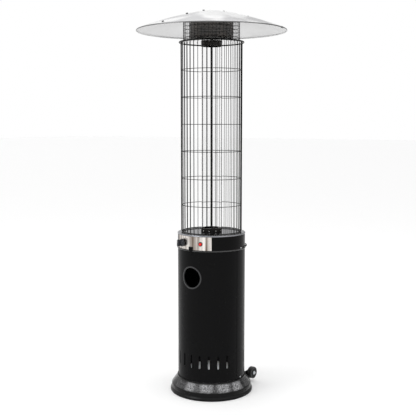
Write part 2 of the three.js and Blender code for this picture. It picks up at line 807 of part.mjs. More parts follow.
onPanel(piece('igniter_body', igniterBody(), blackPlastic), buttonAngle);
onPanel(piece('igniter_bezel', revolve([
  [igniterNeck + touch, touch + 0.3],
  [igniterNeck + 2.6, touch + 0.3],
  [igniterNeck + 2.6, 1.8],
  [igniterNeck + 1.8, 2.8],
  [igniterNeck + touch, 2.8],
], 20), blackPlastic), buttonAngle);
onPanel(piece('igniter_button', revolve([
  [0, cupFloor + buttonTravel + 0.6],
  [buttonRadius, cupFloor + buttonTravel + 0.6],
  [buttonRadius, buttonProud - 1.2],
  [buttonRadius - 1.2, buttonProud - 0.2],
  [0, buttonProud],
], 28), redPlastic), buttonAngle);

const switchBox = block([-16, 96, ceilingBottom + 1.5 + touch], [16, 122, ceilingBottom + 24]);
piece('tilt_switch', switchBox, blackPlastic);

// ---------------------------------------------------------------- wire guard

const ringBottom = deckTop + touch;
const wireBottom = ringBottom + 2 * ringRodRadius + touch;
const plateBottom = guardTop - 1.5;
const wireTop = plateBottom - touch;
const hoopPitch = (guardHeight - ringRodRadius) / (guardHoops + 1);
const wirePitch = 90 / (wiresPerPanel + 1);

const footRingRadius = guardRadius - 1.5;
piece('guard_bottom_ring', torus(footRingRadius, ringRodRadius, ringBottom + ringRodRadius), blackWire);

/** Quarter of the guard: upright wires welded to hoops that run just inside them. */
function guardPanel(from) {
  const half = wireSize / 2;
  const parts = [];
  for (let i = 1; i <= wiresPerPanel; i += 1) {
    const wire = block([-half, -guardRadius - half, wireBottom], [half, -guardRadius + half, wireTop]);
    parts.push(wire.rotateZ(rad(from + i * wirePitch)));
  }
  const ends = THREE.MathUtils.radToDeg((postRadius + touch) / guardRadius) + 0.1;
  const hoopOutside = guardRadius - half + 1.1;
  for (let i = 1; i <= guardHoops; i += 1) {
    const middle = deckTop + ringRodRadius + i * hoopPitch;
    parts.push(arcBand(hoopOutside - wireSize, hoopOutside, middle - half, middle + half,
      from + ends, from + 90 - ends, wiresPerPanel - 1));
  }
  return join(...parts);
}

for (let i = 0; i < 4; i += 1) {
  const psi = firstPost + 90 * i;
  const at = polar(guardRadius, psi, 0);
  piece(`guard_post_${i + 1}`, disc(postRadius, wireBottom, wireTop, 12), blackWire).position.copy(at);
  piece(`guard_panel_${i + 1}`, guardPanel(psi), blackWire);
}

// ---------------------------------------------------------------- heater head

const topRingRadius = guardRadius + 8;
piece('guard_top_ring', torus(topRingRadius, ringRodRadius, guardTop), blackWire);

const plateOutside = topRingRadius - ringRodRadius - touch;
const plateHole = tubeRadius + touch + 1.5 + slide;
piece('support_plate', ring(plateHole, plateOutside, plateBottom, guardTop), polishedSteel);

piece('tube_top_ring', revolve([
  [tubeRadius + touch, guardTop - 20],
  [plateHole - slide, guardTop - 20],
  [plateHole - slide, guardTop + touch],
  [plateHole + 5, guardTop + touch],
  [plateHole + 5, guardTop + touch + 1.5],
  [tubeRadius + touch, guardTop + touch + 1.5],
], tubeSteps), darkSteel);

/** Height of the reflector's upper face above its rim, at radius r. */
function domeHeight(r) {
  return rimHeight + reflectorRise * (1 - (r / reflectorRadius) ** 1.44);
}

const drumWall = 1.2;
const drumBottom = guardTop + drumFeet;
const drumTop = domeHeight(drumRadius) - 12;
const lidWall = 1.5;
const studRadius = 3;
const studPlace = 60;

/** Emitter drum: open below over the tube, on three feet that stand on the support plate. */
function emitterDrum() {
  const shell = revolve([
    [plateHole + 6, drumBottom],
    [drumRadius - 3, drumBottom],
    [drumRadius, drumBottom + 3],
    [drumRadius, drumTop],
    [drumRadius - drumWall, drumTop],
    [drumRadius - drumWall, drumBottom + 3.5],
    [drumRadius - 3.5, drumBottom + drumWall],
    [plateHole + 6, drumBottom + drumWall],
  ], 28);
  const feet = [0, 120, 240].map((psi) => {
    const at = polar(drumRadius - 16, reflectorSeam + psi, 0);
    return disc(4, guardTop + touch, drumBottom + 0.5, 10).translate(at.x, at.y, 0);
  });
  return join(shell, ...feet);
}

piece('emitter_drum', emitterDrum(), darkSteel);

/** Lid of the drum with the three studs that carry the reflector. */
function drumLid() {
  const plate = disc(drumRadius + 1, drumTop + touch, drumTop + touch + lidWall, 36);
  const studs = [0, 120, 240].map((psi) => {
    const at = polar(studPlace, reflectorSeam + psi, 0);
    return disc(studRadius, drumTop + 1, domeHeight(studPlace) + 3, 10).translate(at.x, at.y, 0);
  });
  return join(plate, ...studs);
}

piece('drum_lid', drumLid(), darkSteel);

const cageWire = 1.6;
const cageUprights = 3; // in each of the four sections
const cageTop = domeHeight(cageRadius) - reflectorWall - 4;

/** One quarter of the mesh cage round the drum, drawn with its main wires only. */
function cageSection(from) {
  const inner = cageRadius - cageWire;
  const parts = [guardTop + touch, cageTop - cageWire]
    .map((z) => arcBand(inner - cageWire, inner + cageWire / 2, z, z + cageWire, from + 0.1, from + 89.9, 8));
  for (let i = 0; i < cageUprights; i += 1) {
    const wire = block([-cageWire / 2, -cageRadius, guardTop + touch], [cageWire / 2, -inner, cageTop]);
    parts.push(wire.rotateZ(rad(from + ((i + 0.5) * 90) / cageUprights)));
  }
  return join(...parts);
}

for (let i = 0; i < 4; i += 1) piece(`mesh_cage_${i + 1}`, cageSection(90 * i), blackWire);

/** One third of the domed reflector, with its half of each stud hole. */
function reflectorPanel(from) {
  const steps = 6;
  const upper = [];
  for (let i = 0; i <= steps; i += 1) {
    const r = (i / steps) * (reflectorRadius - 2);
    upper.push([r, domeHeight(r)]);
  }
  const lower = upper.map(([r, z]) => [r, z - reflectorWall]).reverse();
  const rim = [
    [reflectorRadius, rimHeight],
    [reflectorRadius, rimHeight - 4],
    [reflectorRadius - 2, rimHeight - 5],
    [reflectorRadius - 3, rimHeight - 3],
  ];
  let panel = solid(revolve([...upper, ...rim, ...lower]));
  const wedge = arcBand(0, reflectorRadius * 1.3, rimHeight - 20, domeHeight(0) + 20, from, from + 120, 8);
  panel = panel.intersect(solid(wedge));
  const gap = block([-0.3, -reflectorRadius - 20, rimHeight - 20], [0.3, 0, domeHeight(0) + 20]);
  for (const psi of [from, from + 120]) {
    const at = polar(studPlace, psi, 0);
    const hole = disc(studRadius + slide, rimHeight, domeHeight(0) + 20, 12).translate(at.x, at.y, 0);
    panel = panel.subtract(solid(gap.clone().rotateZ(rad(psi)))).subtract(solid(hole));
  }
  return panel;
}

for (let i = 0; i < 3; i += 1) {
  piece(`reflector_panel_${i + 1}`, reflectorPanel(reflectorSeam + 120 * i), polishedSteel);
}

export default heater;
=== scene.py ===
"""Looks of a gas patio heater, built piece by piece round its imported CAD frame. Metres, +Z up."""

import math

import bmesh
import bpy
from mathutils import Matrix, Vector


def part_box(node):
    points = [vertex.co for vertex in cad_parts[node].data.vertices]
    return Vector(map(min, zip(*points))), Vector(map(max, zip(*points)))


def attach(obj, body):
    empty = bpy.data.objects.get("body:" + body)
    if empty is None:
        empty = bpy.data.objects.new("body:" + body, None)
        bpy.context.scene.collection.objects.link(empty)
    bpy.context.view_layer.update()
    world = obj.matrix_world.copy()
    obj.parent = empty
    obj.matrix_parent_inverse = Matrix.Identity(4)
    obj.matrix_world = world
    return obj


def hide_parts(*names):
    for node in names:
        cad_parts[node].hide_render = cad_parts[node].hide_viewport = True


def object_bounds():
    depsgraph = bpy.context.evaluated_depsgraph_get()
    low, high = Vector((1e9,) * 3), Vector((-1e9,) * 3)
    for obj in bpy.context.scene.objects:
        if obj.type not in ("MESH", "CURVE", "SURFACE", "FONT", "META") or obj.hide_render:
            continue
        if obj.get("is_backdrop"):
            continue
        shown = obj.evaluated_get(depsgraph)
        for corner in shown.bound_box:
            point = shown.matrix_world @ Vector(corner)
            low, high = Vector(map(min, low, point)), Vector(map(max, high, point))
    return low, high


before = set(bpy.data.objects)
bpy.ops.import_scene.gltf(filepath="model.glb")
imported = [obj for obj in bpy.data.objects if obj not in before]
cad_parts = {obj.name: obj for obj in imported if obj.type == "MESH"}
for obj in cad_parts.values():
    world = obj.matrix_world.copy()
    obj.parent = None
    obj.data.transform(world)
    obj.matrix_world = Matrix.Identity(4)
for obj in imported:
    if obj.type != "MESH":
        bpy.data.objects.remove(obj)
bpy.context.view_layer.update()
scene = bpy.context.scene

# ---------------------------------------------------------------------------------------------
# Camera: stands to the right of the front, a little above the middle of the wire guard, and looks
# slightly down, so the control panel is seen on the left and the wheels come out behind.
# ---------------------------------------------------------------------------------------------
camera_data = bpy.data.cameras.new("camera")
camera_data.lens = 66.32
camera = bpy.data.objects.new("camera", camera_data)
scene.collection.objects.link(camera)
camera_turn = math.radians(36)
camera_distance, camera_height = 3.826, 1.3473
tilt, pan = 6.2254, 0.2617  # degrees
camera.location = (
    camera_distance * math.sin(camera_turn),
    -camera_distance * math.cos(camera_turn),
    camera_height,
)
camera.rotation_euler = (math.radians(90 - tilt), 0, camera_turn + math.radians(pan))
scene.camera = camera

# ---------------------------------------------------------------------------------------------
# Base ring: a deep-drawn steel skirt with a rolled foot, a crease, an upright band, a cone and a
# folded lip. It is powder coated black, and the front of the cone carries light, speckled bands of
# painted highlight. Its folded lip carries the housing and the bottle tray.
# ---------------------------------------------------------------------------------------------
mm = 0.001


def polar(radius, angle, height):
    """Point at a radius and height; the angle in degrees runs from the front towards +X."""
    turn = math.radians(angle)
    return Vector((radius * math.sin(turn), -radius * math.cos(turn), height))


def as_piece(name, shape, look, crease=32):
    """Makes a finished bmesh into an object with smooth faces and sharp edges over an angle."""
    bmesh.ops.recalc_face_normals(shape, faces=shape.faces)
    mesh = bpy.data.meshes.new(name)
    shape.to_mesh(mesh)
    shape.free()
    mesh.materials.append(look)
    mesh.shade_smooth()
    mesh.set_sharp_from_angle(angle=math.radians(crease))
    piece = bpy.data.objects.new(name, mesh)
    scene.collection.objects.link(piece)
    return piece


def turn_into(shape, outline, steps=144, start=0.0, sweep=360.0, place=None):
    """Adds to a bmesh a closed outline of (radius, height) points turned round the upright axis."""
    whole = sweep == 360.0
    columns = steps if whole else steps + 1
    rings = []
    for i in range(columns):
        angle = start + sweep * i / steps
        ring = [polar(r, angle, z) for r, z in outline]
        rings.append([shape.verts.new(place @ p if place else p) for p in ring])
    count = len(outline)
    for i in range(steps):
        here, there = rings[i], rings[(i + 1) % columns]
        for a in range(count):
            b = (a + 1) % count
            shape.faces.new((here[a], there[a], there[b], here[b]))
    if not whole:
        shape.faces.new(rings[0])
        shape.faces.new(rings[-1][::-1])
    made = [v for ring in rings for v in ring]
    bmesh.ops.remove_doubles(shape, verts=made, dist=1e-7)


def turned(name, outline, look, crease=32, **how):
    """One piece turned from an outline."""
    shape = bmesh.new()
    turn_into(shape, outline, **how)
    return as_piece(name, shape, look, crease)


def rounded(outline, radius, steps=3):
    """Rounds the corners of a closed outline, less where two corners lie close together."""
    soft = []
    for i, corner in enumerate(outline):
        corner = Vector(corner)
        before, after = Vector(outline[i - 1]), Vector(outline[(i + 1) % len(outline)])
        if corner.x == 0 or before == corner or after == corner:
            soft.append(tuple(corner))
            continue
        one, two = before - corner, after - corner
        reach = min(radius, one.length * 0.45, two.length * 0.45)
        a, b = corner + one.normalized() * reach, corner + two.normalized() * reach
        for k in range(steps + 1):
            t = k / steps
            soft.append(tuple(a.lerp(corner, t).lerp(corner.lerp(b, t), t)))
    return soft


def add(tree, kind, inputs=None, **settings):
    """Adds a node with its settings; an input given as a socket is linked, any other is set."""
    made = tree.nodes.new("ShaderNode" + kind)
    for key, value in settings.items():
        setattr(made, key, value)
    for key, value in (inputs or {}).items():
        if isinstance(value, bpy.types.NodeSocket):
            tree.links.new(value, made.inputs[key])
        else:
            made.inputs[key].default_value = value
    return made


def math_of(tree, operation, *values):
    """Output of a Math node over sockets or numbers."""
    return add(tree, "Math", dict(enumerate(values)), operation=operation).outputs[0]


def span(tree, value, low, high, to_low, to_high):
    """Maps a value from one range to another, held at its ends."""
    made = add(tree, "MapRange", {"Value": value, "From Min": low, "From Max": high})
    made.inputs["To Min"].default_value = to_low
    made.inputs["To Max"].default_value = to_high
    return made.outputs["Result"]


def blend_of(tree, factor, first, second):
    """Colour between two colours or colour sockets."""
    made = tree.nodes.new("ShaderNodeMix")
    made.data_type = "RGBA"
    for socket, value in ((made.inputs[0], factor), (made.inputs[6], first), (made.inputs[7], second)):
        if isinstance(value, bpy.types.NodeSocket):
            tree.links.new(value, socket)
        else:
            socket.default_value = (*value, 1) if socket.type == "RGBA" else value
    return made.outputs[2]


def effect(name, inputs, outputs):
    """New shader node group with named sockets; gives its tree, its input node and output node."""
    tree = bpy.data.node_groups.new(name, "ShaderNodeTree")
    for label, kind, value in inputs:
        socket = tree.interface.new_socket(label, in_out="INPUT", socket_type="NodeSocket" + kind)
        socket.default_value = value
    for label, kind in outputs:
        tree.interface.new_socket(label, in_out="OUTPUT", socket_type="NodeSocket" + kind)
    return tree, tree.nodes.new("NodeGroupInput"), tree.nodes.new("NodeGroupOutput")


def use(tree, group, **values):
    """Places an effect in a material; a keyword Wear_Scale sets the socket Wear Scale."""
    made = add(tree, "Group", node_tree=group)
    for key, value in values.items():
        socket = made.inputs[key.replace("_", " ")]
        socket.default_value = (*value, 1) if socket.type == "RGBA" else value
    return made


def material(name, roughness=0.5, metallic=0.0, specular=0.5):
    """New material; gives it with its node tree and its Principled shader."""
    look = bpy.data.materials.new(name)
    look.use_nodes = True
    shader = look.node_tree.nodes["Principled BSDF"]
    shader.inputs["Roughness"].default_value = roughness
    shader.inputs["Metallic"].default_value = metallic
    shader.inputs["Specular IOR Level"].default_value = specular
    return look, look.node_tree, shader


def bump(tree, shader, height, distance):
    """Feeds a height into the shader's normal."""
    made = add(tree, "Bump", {"Height": height, "Distance": distance, "Strength": 1.0})
    tree.links.new(made.outputs["Normal"], shader.inputs["Normal"])


# Powder coat: fine orange peel, uneven gloss, and thin dust on what faces up.
powder_coat, given, out = effect(
    "powder_coat",
    [
        ("Paint", "Color", (0.01, 0.01, 0.01, 1)),
        ("Dust Colour", "Color", (0.1, 0.1, 0.1, 1)),
        ("Dust", "Float", 0.3),
        ("Gloss", "Float", 0.28),
        ("Gloss Spread", "Float", 0.1),
        ("Grain Size", "Float", 0.0016),
    ],
    [("Color", "Color"), ("Roughness", "Float"), ("Height", "Float")],
)
place = add(powder_coat, "TexCoord").outputs["Object"]
peel = add(powder_coat, "TexNoise", {"Vector": place, "Detail": 2.0})
powder_coat.links.new(
    math_of(powder_coat, "DIVIDE", 1.0, given.outputs["Grain Size"]), peel.inputs["Scale"]
)
clouds = add(powder_coat, "TexNoise", {"Vector": place, "Scale": 9.0, "Detail": 5.0})
facing_up = add(powder_coat, "SeparateXYZ", {0: add(powder_coat, "NewGeometry").outputs["Normal"]})
settled = math_of(powder_coat, "MAXIMUM", facing_up.outputs["Z"], 0.0)
settled = math_of(powder_coat, "MULTIPLY", settled, given.outputs["Dust"])
settled = math_of(powder_coat, "MULTIPLY", settled, clouds.outputs["Fac"])
powder_coat.links.new(
    blend_of(powder_coat, settled, given.outputs["Paint"], given.outputs["Dust Colour"]),
    out.inputs["Color"],
)
uneven = math_of(powder_coat, "SUBTRACT", clouds.outputs["Fac"], 0.5)
uneven = math_of(powder_coat, "MULTIPLY", uneven, given.outputs["Gloss Spread"])
uneven = math_of(powder_coat, "ADD", uneven, given.outputs["Gloss"])
powder_coat.links.new(uneven, out.inputs["Roughness"])
powder_coat.links.new(peel.outputs["Fac"], out.inputs["Height"])


def painted(name, paint, gloss, specular, dust=0.3, grain=0.0016, depth=0.00008):
    """Powder-coated steel of one colour."""
    look, tree, shader = material(name, specular=specular)
    coat = use(tree, powder_coat, Paint=paint, Dust=dust, Gloss=gloss, Grain_Size=grain)
    tree.links.new(coat.outputs["Color"], shader.inputs["Base Color"])
    tree.links.new(coat.outputs["Roughness"], shader.inputs["Roughness"])
    bump(tree, shader, coat.outputs["Height"], depth)
    return look


base_paint, tree, shader = material("base_paint", specular=0.13)
coat = use(tree, powder_coat, Paint=(0.003, 0.003, 0.003), Dust=0.1, Gloss=0.22, Gloss_Spread=0.16)
place = add(tree, "TexCoord").outputs["Object"]
dents = add(tree, "TexNoise", {"Vector": place, "Scale": 34.0, "Detail": 3.0, "Roughness": 0.6})
peel_share, dent_depth = 0.06, 1.2 * mm
height = math_of(tree, "MULTIPLY", coat.outputs["Height"], peel_share)
height = math_of(tree, "ADD", height, dents.outputs["Fac"])
broad = add(tree, "TexNoise", {"Vector": place, "Scale": 13.0, "Detail": 1.0})
speckle = add(tree, "TexNoise", {"Vector": place, "Scale": 170.0, "Detail": 5.0, "Roughness": 0.75})
spot = add(tree, "SeparateXYZ", {0: place})
to_front = math_of(tree, "MULTIPLY", spot.outputs["Y"], -1.0)
around = math_of(tree, "ARCTAN2", spot.outputs["X"], to_front)

# The painted highlight bands follow each other every 26 degrees, and fade out away from the front.
highlight_pitch, first_highlight = 26, math.radians(3)
highlight_middle, highlight_half, highlight_end = math.radians(38), math.radians(44), math.radians(54)
ripple = math_of(tree, "MULTIPLY", math_of(tree, "SUBTRACT", around, first_highlight), 360 / highlight_pitch)
ripple = math_of(tree, "ADD", ripple, span(tree, broad.outputs["Fac"], 0.3, 0.7, -0.9, 0.9))
highlight_band = span(tree, math_of(tree, "COSINE", ripple), -0.95, 0.3, 0.3, 1.0)
off_front = math_of(tree, "ABSOLUTE", math_of(tree, "SUBTRACT", around, highlight_middle))
highlight_band = math_of(tree, "MULTIPLY", highlight_band, span(tree, off_front, highlight_half, highlight_end, 1.0, 0.22))
on_cone = math_of(
    tree,
    "MULTIPLY",
    span(tree, spot.outputs["Z"], 37 * mm, 44 * mm, 0.0, 1.0),
    span(tree, spot.outputs["Z"], 69 * mm, 77 * mm, 1.0, 0.0),
)
painted_highlight_mask = math_of(tree, "MULTIPLY", highlight_band, on_cone)
painted_highlight_mask = math_of(tree, "MULTIPLY", painted_highlight_mask, span(tree, speckle.outputs["Fac"], 0.40, 0.62, 0.1, 1.0))
# Painted highlight: light grey, speckled bands on the front of the cone stand in for reflections of the
# lights in its gloss paint.
highlight_grey = (0.46, 0.46, 0.47)
tree.links.new(blend_of(tree, painted_highlight_mask, coat.outputs["Color"], highlight_grey), shader.inputs["Base Color"])
tree.links.new(coat.outputs["Roughness"], shader.inputs["Roughness"])
bump(tree, shader, height, dent_depth)

base_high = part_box("base_ring")[1]
foot_radius = base_high.x
lip_top = base_high.z
shelf_height = lip_top - 5 * mm
sheet = 1.8 * mm
band_radius = foot_radius - 6.5 * mm
lip_outside, lip_inside = foot_radius - 35.5 * mm, foot_radius - 39.1 * mm
shelf_inside = foot_radius - 59 * mm
base_outside = [
    (foot_radius - 1.5 * mm, 0),
    (foot_radius, 2 * mm),
    (foot_radius, 9 * mm),
    (band_radius - 1.5 * mm, 17 * mm),
    (band_radius, 24 * mm),
    (band_radius, 36 * mm),
    (band_radius - 3.5 * mm, 41 * mm),
    (foot_radius - 34.5 * mm, 73.5 * mm),
    (lip_outside, lip_top),
    (lip_inside, lip_top),
    (lip_inside, shelf_height),
]
base_inside = [
    (shelf_inside, shelf_height),
    (shelf_inside, shelf_height - sheet),
    (foot_radius - 36.3 * mm, shelf_height - 3.8 * mm),
    (band_radius - 5.3 * mm, 40.1 * mm),
    (band_radius - sheet, 35.1 * mm),
    (band_radius - sheet, 24 * mm),
    (band_radius - 1.5 * mm - sheet, 17 * mm),
    (foot_radius - sheet, 8.1 * mm),
    (foot_radius - sheet, sheet),
    (foot_radius - 8 * mm, sheet),
    (foot_radius - 8 * mm, 0),
]
base_skirt = turned("base_skirt", rounded(base_outside + base_inside, 2.5 * mm), base_paint, steps=192)
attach(base_skirt, "heater")
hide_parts("base_ring")

# ---------------------------------------------------------------------------------------------
# Ballast: a rough cast iron disc hung inside the skirt on four steel brackets. Each bracket is
# held by two rivets through the band, and all of them are painted with it.
# ---------------------------------------------------------------------------------------------


def dress(node, look, soften=0.0):
    """Gives a CAD node its finish, and rounds its edges by a width where one is given."""
    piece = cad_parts[node]
    piece.data.materials.clear()
    piece.data.materials.append(look)
    if soften:
        edge = piece.modifiers.new("edge", "BEVEL")
        edge.width = soften
        edge.segments = 2
        edge.limit_method = "ANGLE"
        edge.angle_limit = math.radians(50)
        edge.harden_normals = True


def facing_out(angle, radius, height):
    """Place on the heater's side: local +Z points outward and +Y points up."""
    at = polar(radius, angle, height)
    turn = math.radians(angle)
    outward = Vector((math.sin(turn), -math.cos(turn), 0))
    along = Vector((math.cos(turn), math.sin(turn), 0))
    return Matrix.Translation(at) @ Matrix((along, (0, 0, 1), outward)).transposed().to_4x4()


def dome_head(shape, place, radius, height):
    """Domed rivet or screw head with a small socket in its middle, its underside on the place."""
    arc = [(radius * math.cos(t), height * math.sin(t)) for t in (0.0, 0.35, 0.7, 1.05, 1.3)]
    socket = radius * 0.3
    outline = [(0, 0), *arc, (socket, height * 0.97), (socket * 0.9, height * 0.6), (0, height * 0.6)]
    turn_into(shape, outline, steps=20, place=place)


cast_iron, tree, shader = material("cast_iron", roughness=0.85, metallic=0.4)
place = add(tree, "TexCoord").outputs["Object"]
sand = add(tree, "TexNoise", {"Vector": place, "Scale": 420.0, "Detail": 5.0})
rust = add(tree, "TexNoise", {"Vector": place, "Scale": 30.0, "Detail": 4.0})
rusty = span(tree, rust.outputs["Fac"], 0.4, 0.7, 0, 1)
tree.links.new(
    blend_of(tree, rusty, (0.06, 0.058, 0.055), (0.12, 0.07, 0.045)), shader.inputs["Base Color"]
)
bump(tree, shader, sand.outputs["Fac"], 0.0006)
dress("ballast_disc", cast_iron, 2 * mm)

bracket_paint = painted("bracket_paint", (0.004, 0.004, 0.004), 0.4, 0.2, dust=0.1)
for i in range(4):
    dress(f"ballast_bracket_{i + 1}", bracket_paint)

# Brushed or rolled steel: fine lines along one direction, cloudy tarnish and uneven shine.
# On the control panel the tarnish colour and its cloudy mask carry painted reflection streaks instead of
# tarnish.
worked_steel, given, out = effect(
    "worked_steel",
    [
        ("Steel", "Color", (0.7, 0.7, 0.7, 1)),
        ("Tarnish", "Color", (0.3, 0.28, 0.26, 1)),
        ("Tarnish Amount", "Float", 0.3),
        ("Tarnish Scale", "Vector", (6.0, 6.0, 6.0)),
        ("Line Scale", "Vector", (900.0, 900.0, 20.0)),
        ("Shine", "Float", 0.3),
        ("Shine Spread", "Float", 0.15),
    ],
    [("Color", "Color"), ("Roughness", "Float"), ("Height", "Float")],
)
place = add(worked_steel, "TexCoord").outputs["Object"]
stretched = add(worked_steel, "VectorMath", {0: place, 1: given.outputs["Line Scale"]}, operation="MULTIPLY")
lines = add(worked_steel, "TexNoise", {"Vector": stretched.outputs[0], "Scale": 1.0, "Detail": 3.0})
spread = add(worked_steel, "VectorMath", {0: place, 1: given.outputs["Tarnish Scale"]}, operation="MULTIPLY")
clouds = add(worked_steel, "TexNoise", {"Vector": spread.outputs[0], "Scale": 1.0, "Detail": 5.0})
dull = span(worked_steel, clouds.outputs["Fac"], 0.38, 0.66, 0.0, 1.0)
dull = math_of(worked_steel, "MULTIPLY", dull, given.outputs["Tarnish Amount"])
worked_steel.links.new(
    blend_of(worked_steel, dull, given.outputs["Steel"], given.outputs["Tarnish"]), out.inputs["Color"]
)
uneven = math_of(worked_steel, "SUBTRACT", lines.outputs["Fac"], 0.5)
uneven = math_of(worked_steel, "ADD", uneven, dull)
uneven = math_of(worked_steel, "MULTIPLY", uneven, given.outputs["Shine Spread"])
worked_steel.links.new(
    math_of(worked_steel, "ADD", uneven, given.outputs["Shine"]), out.inputs["Roughness"]
)
worked_steel.links.new(lines.outputs["Fac"], out.inputs["Height"])


def steel(name, depth=0.00003, **values):
    """Bare or plated steel worked in one direction."""
    look, tree, shader = material(name, metallic=1.0)
    work = use(tree, worked_steel, **values)
    tree.links.new(work.outputs["Color"], shader.inputs["Base Color"])
    tree.links.new(work.outputs["Roughness"], shader.inputs["Roughness"])
    bump(tree, shader, work.outputs["Height"], depth)
    return look


zinc = steel(
    "zinc", Steel=(0.72, 0.74, 0.76), Tarnish=(0.45, 0.46, 0.47), Tarnish_Scale=(60.0, 60.0, 60.0),
    Line_Scale=(300.0, 300.0, 300.0), Shine=0.32,
)
rivet_spread, rivet_height = 3.7, 27 * mm
shape = bmesh.new()
for middle in (0, 90, 180, 270):
    for side in (-rivet_spread, rivet_spread):
        seat_place = facing_out(middle + side, band_radius + 0.6 * mm, rivet_height)
        dome_head(shape, seat_place, 3.6 * mm, 1.8 * mm)
rivet_heads = as_piece("ballast_rivet_heads", shape, bracket_paint)
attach(rivet_heads, "heater")

# ---------------------------------------------------------------------------------------------
# Bottle tray: a pressed zinc-plated floor plate with a turned-down rim. It lies on the shelf of
# the base ring, and its bright face shows through the vent slots.
# ---------------------------------------------------------------------------------------------
tray_low, tray_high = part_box("bottle_tray")
tray_radius, tray_top, tray_wall = tray_high.x, tray_high.z, 1.5 * mm
tray_under, tray_bore = tray_top - tray_wall, tray_radius - tray_wall
tray_outline = [
    (0, tray_under),
    (tray_bore, tray_under),
    (tray_bore, tray_low.z),
    (tray_radius, tray_low.z),
    (tray_radius, tray_top),
    (0, tray_top),
]
tray_zinc = steel(
    "tray_zinc", Steel=(0.86, 0.87, 0.88), Tarnish=(0.62, 0.63, 0.64), Tarnish_Scale=(28.0, 28.0, 28.0),
    Line_Scale=(30.0, 500.0, 30.0), Shine=0.42,
)
tray = turned("tray_plate", rounded(tray_outline, 2 * mm), tray_zinc, steps=96)
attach(tray, "heater")
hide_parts("bottle_tray")

# ---------------------------------------------------------------------------------------------
# Transport wheels: two moulded black wheels behind the base, each on a bolt through a welded
# cheek. They touch the floor only when the heater is tipped back.
# ---------------------------------------------------------------------------------------------
moulded, given, out = effect(
    "moulded",
    [
        ("Plastic", "Color", (0.012, 0.012, 0.013, 1)),
        ("Scuff Colour", "Color", (0.07, 0.07, 0.07, 1)),
        ("Scuffs", "Float", 0.3),
        ("Satin", "Float", 0.42),
    ],
    [("Color", "Color"), ("Roughness", "Float"), ("Height", "Float")],
)
place = add(moulded, "TexCoord").outputs["Object"]
spark = add(moulded, "TexNoise", {"Vector": place, "Scale": 1400.0, "Detail": 2.0})
rubbed = add(moulded, "TexNoise", {"Vector": place, "Scale": 70.0, "Detail": 6.0, "Roughness": 0.7})
scuff = math_of(
    moulded, "MULTIPLY", span(moulded, rubbed.outputs["Fac"], 0.52, 0.72, 0, 1), given.outputs["Scuffs"]
)
moulded.links.new(
    blend_of(moulded, scuff, given.outputs["Plastic"], given.outputs["Scuff Colour"]), out.inputs["Color"]
)
moulded.links.new(
    math_of(moulded, "ADD", given.outputs["Satin"], math_of(moulded, "MULTIPLY", scuff, 0.3)),
    out.inputs["Roughness"],
)
moulded.links.new(spark.outputs["Fac"], out.inputs["Height"])


def plastic(name, colour, satin, scuffs=0.3, specular=0.4):
    """Moulded plastic with a spark-eroded face and light scuffs."""
    look, tree, shader = material(name, specular=specular)
    face = use(tree, moulded, Plastic=colour, Satin=satin, Scuffs=scuffs)
    tree.links.new(face.outputs["Color"], shader.inputs["Base Color"])
    tree.links.new(face.outputs["Roughness"], shader.inputs["Roughness"])
    bump(tree, shader, face.outputs["Height"], 0.00006)
    return look


def plug(radius, bottom, top):
    """Outline of a plain round rod or disc."""
    return [(0, bottom), (radius, bottom), (radius, top), (0, top)]


wheel_plastic = plastic("wheel_plastic", (0.014, 0.014, 0.014), 0.4, scuffs=0.6)
wheel_bore, hub_radius = 4.3 * mm, 11 * mm
rim_depth, hub_dish, spokes = 8 * mm, 5 * mm, 6
for side, sign in (("left", -1), ("right", 1)):
    low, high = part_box(f"wheel_{side}")
    axle = (low + high) / 2
    radius, half = (high.z - low.z) / 2, (high.x - low.x) / 2
    tread = [
        (wheel_bore, -half), (hub_radius, -half), (hub_radius + mm, -half + hub_dish),
        (radius - rim_depth, -half + hub_dish), (radius - 7 * mm, -half), (radius - 2 * mm, -half),
        (radius, -half + 3 * mm), (radius, -3 * mm), (radius - mm, -2 * mm), (radius - mm, 2 * mm),
        (radius, 3 * mm), (radius, half - 3 * mm), (radius - 2 * mm, half), (radius - 7 * mm, half),
        (radius - rim_depth, half - hub_dish), (hub_radius + mm, half - hub_dish), (hub_radius, half),
        (wheel_bore, half),
    ]
    on_axle = Matrix.Translation(axle) @ Matrix.Rotation(sign * math.pi / 2, 4, "Y")
    shape = bmesh.new()
    turn_into(shape, rounded(tread, 0.8 * mm), steps=64, place=on_axle)
    length = radius - rim_depth - hub_radius
    size = Matrix.Diagonal((length, 2.4 * mm, 2 * half - hub_dish, 1))
    middle = Matrix.Translation((hub_radius + length / 2, 0, 0))
    for spoke in range(spokes):
        turn = Matrix.Rotation(2 * math.pi * spoke / spokes, 4, "Z")
        web = bmesh.ops.create_cube(shape, size=1.0)["verts"]
        bmesh.ops.transform(shape, verts=web, matrix=on_axle @ turn @ middle @ size)
    wheel = as_piece(f"moulded_wheel_{side}", shape, wheel_plastic)
    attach(wheel, f"wheel_{side}_body")
    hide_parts(f"wheel_{side}")

    shape = bmesh.new()
    front = half + 0.3 * mm
    washer_top, nut_top, end_top = front + 1.5 * mm, front + 6 * mm, front + 7.7 * mm
    head_back, head_front = -half - 11.5 * mm, -half - 6.9 * mm
    washer = plug(9 * mm, front, washer_top)
    nut = plug(6.5 * mm, washer_top, nut_top)
    end = [(0, nut_top), (3.9 * mm, nut_top), (3.2 * mm, end_top), (0, end_top)]
    shank = plug(4 * mm, -half - 11 * mm, front)
    bolt_back = [(0, head_back), (6.5 * mm, head_back), (7 * mm, head_front), (0, head_front)]
    for outline, steps in ((washer, 32), (nut, 6), (end, 24), (shank, 24), (bolt_back, 6)):
        turn_into(shape, outline, steps=steps, place=on_axle)
    bolt = as_piece(f"axle_bolt_{side}", shape, zinc)
    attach(bolt, "heater")
    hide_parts(f"wheel_bolt_{side}")
    dress(f"wheel_bracket_{side}", bracket_paint, 0.5 * mm)

